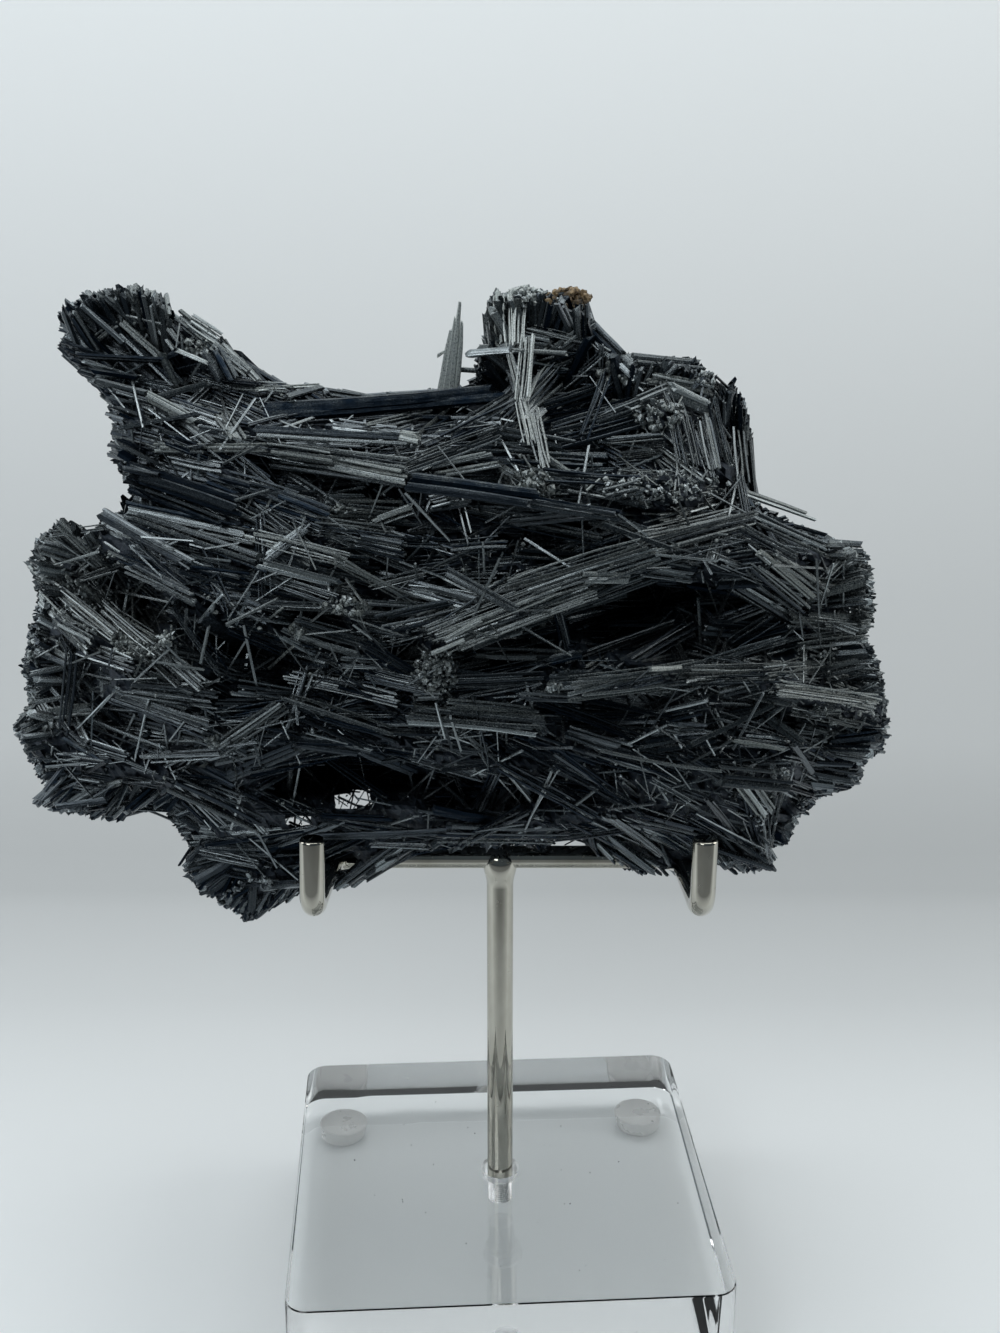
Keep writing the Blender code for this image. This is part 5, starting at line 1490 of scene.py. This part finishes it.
def makeAcrylic(name, roughness, cut=False):
    material, tree, shader = startMaterial(name)
    place = addNode(tree, "ShaderNodeTexCoord").outputs["Object"]
    haze = stretchedNoise(tree, place, (1.0, 1.0, 1.0), 60.0, 3.0, 0.6)
    rub = stretchedNoise(tree, place, (6.0, 0.4, 1.0), 420.0, 3.0, 0.6)
    shader.inputs["Base Color"].default_value = (0.975, 0.985, 0.985, 1.0)
    shader.inputs["Transmission Weight"].default_value = 1.0
    shader.inputs["IOR"].default_value = 1.49
    scratch = remap(tree, rub, 0.70, 0.78, (0.0, 0.10))
    rough = calc(tree, "ADD", remap(tree, haze, 0.3, 0.8, roughness), scratch)
    tree.links.new(rough, shader.inputs["Roughness"])
    bump = addNode(tree, "ShaderNodeBump",
                   {"Strength": 0.5 if cut else 0.04, "Distance": 0.0002 if cut else 0.00002})
    tree.links.new(rub if cut else haze, bump.inputs["Height"])
    tree.links.new(bump.outputs["Normal"], shader.inputs["Normal"])
    return material


blockShape = {
    "side": 76.2,
    "corner": 4.0,
    "turn": 3.44,          # degrees
    "edge": 0.5,
    "thread": 2.3,
    "threadDepth": 13.8,
    "grooves": 22,
    "grooveDepth": 0.16,
    "bore": 3.25,
    "boreDepth": 3.5,
    "boreEdge": 0.35,
}


def makeBlock():
    low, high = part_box("acrylic_block")
    tall = high.z - low.z
    bm = bmesh.new()
    bmesh.ops.create_cube(bm, size=1.0)
    side = blockShape["side"] * mm
    bmesh.ops.scale(bm, vec=(side, side, tall), verts=bm.verts)
    uprights = [e for e in bm.edges if abs(e.verts[0].co.z - e.verts[1].co.z) > tall / 2]
    bmesh.ops.bevel(bm, geom=uprights, offset=blockShape["corner"] * mm, segments=12,
                    affect="EDGES", profile=0.5)
    rims = [e for e in bm.edges if e.calc_face_angle(0) > math.radians(60)]
    bmesh.ops.bevel(bm, geom=rims, offset=blockShape["edge"] * mm, segments=3, affect="EDGES", profile=0.6)
    mesh = bpy.data.meshes.new("clear_block")
    bm.to_mesh(mesh)
    bm.free()
    block = bpy.data.objects.new("clear_block", mesh)
    bpy.context.scene.collection.objects.link(block)
    block.location = (postX, postY, low.z + tall / 2)
    block.rotation_euler.z = math.radians(blockShape["turn"])
    top = high.z
    bore, edge = blockShape["bore"] * mm, blockShape["boreEdge"] * mm
    deep, narrow = blockShape["boreDepth"] * mm, blockShape["thread"] * mm
    floor = top - blockShape["threadDepth"] * mm
    profile = [(0.05 * mm, floor), (narrow * 0.8, floor + 0.1 * mm)]
    grooves, grooveDepth = blockShape["grooves"], blockShape["grooveDepth"] * mm
    for i in range(grooves):  # the tapped wall, as fine rings
        z = floor + 0.4 * mm + (top - deep - floor - 0.5 * mm) * i / (grooves - 1)
        profile.append((narrow - (grooveDepth if i % 2 else 0.0), z))
    profile += [(narrow, top - deep), (bore, top - deep + 0.15 * mm),
                (bore, top - edge), (bore + edge, top),
                (bore + edge, top + 1 * mm), (0.05 * mm, top + 1 * mm)]
    rings = turned(profile, 40, (postX, postY))
    sides = rings.shape[1]
    hole = bmesh.new()
    verts = [[hole.verts.new(p) for p in ring] for ring in rings]
    for lower, upper in zip(verts, verts[1:]):
        for s in range(sides):
            hole.faces.new((lower[s], lower[(s + 1) % sides], upper[(s + 1) % sides], upper[s]))
    hole.faces.new(verts[0][::-1])
    hole.faces.new(verts[-1])
    bmesh.ops.recalc_face_normals(hole, faces=hole.faces)
    holeMesh = bpy.data.meshes.new("hole_cut")
    hole.to_mesh(holeMesh)
    hole.free()
    cutter = bpy.data.objects.new("hole_cut", holeMesh)
    bpy.context.scene.collection.objects.link(cutter)
    cut = block.modifiers.new("hole", "BOOLEAN")
    cut.object = cutter
    cut.solver = "EXACT"
    bpy.context.view_layer.update()
    graph = bpy.context.evaluated_depsgraph_get()
    block.data = bpy.data.meshes.new_from_object(block.evaluated_get(graph))
    block.modifiers.clear()
    bpy.data.objects.remove(cutter)
    block.data.transform(block.matrix_world)
    block.location = (0, 0, 0)
    block.rotation_euler = (0, 0, 0)
    block.data.materials.clear()
    block.data.materials.append(makeAcrylic("acrylicPolished", (0.0, 0.02)))
    block.data.materials.append(makeAcrylic("acrylicCut", (0.30, 0.45), cut=True))
    for face in block.data.polygons:
        near = math.hypot(face.center.x - postX, face.center.y - postY) < bore + edge * 0.9
        drilled = near and floor - mm < face.center.z < top - 0.01 * mm
        face.material_index = 1 if drilled else 0
    block.data.shade_smooth()
    block.data.set_sharp_from_angle(angle=math.radians(28))
    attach(block, "root")
    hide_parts("acrylic_block")
    print("clear_block", len(block.data.polygons), "faces")


makeBlock()

bumperShape = {
    "radius": 4.75,
    "narrow": 4.45,        # at the floor
    "height": 3.5,
    "edge": 0.9,
    "dish": 2.6,
    "dishDepth": 0.45,
    "sides": 64,
}


def makeBumperLook():
    material, tree, shader = startMaterial("bumperClear")
    place = addNode(tree, "ShaderNodeTexCoord").outputs["Object"]
    cloud = stretchedNoise(tree, place, (1.0, 1.0, 1.0), 240.0, 3.0, 0.6)
    shader.inputs["Base Color"].default_value = (0.93, 0.93, 0.915, 1.0)
    shader.inputs["Transmission Weight"].default_value = 0.42
    shader.inputs["IOR"].default_value = 1.45
    tree.links.new(remap(tree, cloud, 0.3, 0.75, (0.22, 0.40)), shader.inputs["Roughness"])
    bump = addNode(tree, "ShaderNodeBump", {"Strength": 0.2, "Distance": 0.00005})
    tree.links.new(cloud, bump.inputs["Height"])
    tree.links.new(bump.outputs["Normal"], shader.inputs["Normal"])
    return material


def makeBumpers():
    look = makeBumperLook()
    s = bumperShape
    soft = [(s["narrow"] - s["edge"] * (1 - math.cos(t)), s["edge"] * (1 - math.sin(t)))
            for t in np.linspace(0, math.pi / 2, 8)]
    dish = [(s["dish"] + 0.5, 0.0), (s["dish"] + 0.15, 0.08), (s["dish"] - 0.1, s["dishDepth"] * 0.8),
            (s["dish"] - 0.5, s["dishDepth"]), (0.02, s["dishDepth"])]
    profile = [(0.02, s["height"]), (s["radius"] - 0.25, s["height"]), (s["radius"], s["height"] - 0.2)]
    profile = [(r * mm, z * mm) for r, z in profile + soft + dish]
    for node in ("foot_front_left", "foot_front_right", "foot_rear_left", "foot_rear_right"):
        low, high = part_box(node)
        centre = ((low.x + high.x) / 2, (low.y + high.y) / 2)
        gridSurface("bumper" + node[4:], turned(profile, s["sides"], centre), look, node)


makeBumpers()

specks = {"count": 70, "size": (0.10, 0.32), "margin": 5.0, "fromPost": 4.5, "seed": 31}


def makeSpecks():
    # grains of the crystal and lint lying on the block's top
    rng = np.random.default_rng(specks["seed"])
    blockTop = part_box("acrylic_block")[1].z
    reach = blockShape["side"] / 2 - specks["margin"]
    flat = rng.uniform(-reach, reach, (specks["count"], 2)) * mm
    flat = flat[np.hypot(flat[:, 0], flat[:, 1]) > specks["fromPost"] * mm]
    turn = math.radians(blockShape["turn"])
    size = rng.uniform(0, 1, len(flat)) ** 2 * (specks["size"][1] - specks["size"][0]) + specks["size"][0]
    centre = np.stack((
        postX + flat[:, 0] * math.cos(turn) - flat[:, 1] * math.sin(turn),
        postY + flat[:, 0] * math.sin(turn) + flat[:, 1] * math.cos(turn),
        blockTop + size * 0.35 * mm), axis=1)
    piece = joinChunks("block_specks", [growCrumbs(rng, centre, size, np.full(len(flat), 0.9))], stibnite)
    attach(piece, "root")


makeSpecks()


# Floor, backdrop and light

stage = {
    "wide": 1.6,           # lengths in metres
    "front": -1.2,
    "bendStart": 0.17,
    "bendRadius": 0.34,
    "bendSteps": 24,
    "wallTop": 1.3,
    "drop": 0.00002,       # under the bumpers
    "floorShare": 0.3,     # the floor's run forward counts this much as height down
    "tint": (0.967, 1.0, 1.006),
    # how pale it is at each height, which paints shade into the paper: it is darkest where the floor meets
    # the wall, and less pale on the front of the floor, out of the picture
    "tones": [(-0.096, 0.26), (-0.064, 0.93), (-0.034, 0.69), (-0.0195, 0.555), (-0.004, 0.47),
              (0.001, 0.415), (0.013, 0.485), (0.045, 0.515), (0.28, 0.91)],
}


def makeStage():
    profile = [(stage["front"], 0.0), (stage["bendStart"], 0.0)]
    for i in range(1, stage["bendSteps"] + 1):
        turn = math.pi / 2 * i / stage["bendSteps"]
        profile.append((stage["bendStart"] + stage["bendRadius"] * math.sin(turn),
                        stage["bendRadius"] * (1 - math.cos(turn))))
    profile.append((stage["bendStart"] + stage["bendRadius"], stage["wallTop"]))
    ends = (-stage["wide"], stage["wide"])
    points = np.array([(x, y, z - stage["drop"]) for y, z in profile for x in ends])
    triangles = []
    for i in range(len(profile) - 1):
        a = 2 * i
        triangles += [(a, a + 1, a + 3), (a, a + 3, a + 2)]
    material, tree, shader = startMaterial("backdropPaintedShade")
    place = addNode(tree, "ShaderNodeTexCoord").outputs["Object"]
    split = addNode(tree, "ShaderNodeSeparateXYZ")
    tree.links.new(place, split.inputs["Vector"])
    # painted shade: the paper's colour is ramped by height, and by its run forward on the floor, to stand in
    # for light falling off
    ahead = calc(tree, "SUBTRACT", stage["bendStart"], split.outputs["Y"], clamp=True)
    along = calc(tree, "SUBTRACT", split.outputs["Z"], calc(tree, "MULTIPLY", ahead, stage["floorShare"]))
    ramp = addNode(tree, "ShaderNodeValToRGB")
    low, high = stage["tones"][0][0], stage["tones"][-1][0]
    stops = ramp.color_ramp.elements
    given = {0: 0, len(stage["tones"]) - 1: -1}
    for i, (spot, pale) in enumerate(stage["tones"]):
        stop = stops[given[i]] if i in given else stops.new((spot - low) / (high - low))
        stop.color = (*(pale * share for share in stage["tint"]), 1.0)
    tree.links.new(remap(tree, along, low, high), ramp.inputs["Fac"])
    tree.links.new(ramp.outputs["Color"], shader.inputs["Base Color"])
    shader.inputs["Roughness"].default_value = 0.8
    floor = meshFrom("backdrop", points, np.array(triangles), material, smooth=True)


makeStage()

lights = {  # place, aim, size, watts, colour
    "overhead": ((0.0, 0.10, 0.75), (0.0, 0.05, 0.1), (1.0, 0.7), 4.25, (0.97, 0.99, 1.0)),
    "left": ((-0.75, 0.10, 0.40), (0.0, 0.0, 0.12), (0.4, 0.6), 2.0, (0.95, 0.98, 1.0)),
    "right": ((0.75, 0.10, 0.40), (0.0, 0.0, 0.12), (0.4, 0.6), 1.8, (1.0, 0.99, 0.96)),
    "front": ((-0.30, -0.50, 0.50), (0.0, 0.0, 0.12), (0.3, 0.3), 1.0, (0.95, 0.98, 1.0)),
}
room = {"colour": (0.64, 0.80, 0.92, 1.0), "strength": 0.115}


def makeLights():
    for name, (place, aim, size, watts, colour) in lights.items():
        lamp = bpy.data.lights.new(name, "AREA")
        lamp.shape = "RECTANGLE"
        lamp.size, lamp.size_y = size
        lamp.energy = watts
        lamp.color = colour
        holder = bpy.data.objects.new(name, lamp)
        holder.location = place
        holder.rotation_euler = (Vector(aim) - Vector(place)).to_track_quat("-Z", "Y").to_euler()
        bpy.context.scene.collection.objects.link(holder)
    world = bpy.data.worlds.new("room")
    world.use_nodes = True
    fill = world.node_tree.nodes["Background"]
    fill.inputs["Color"].default_value = room["colour"]
    fill.inputs["Strength"].default_value = room["strength"]
    bpy.context.scene.world = world
    bpy.context.scene.view_settings.view_transform = "Standard"


makeLights()
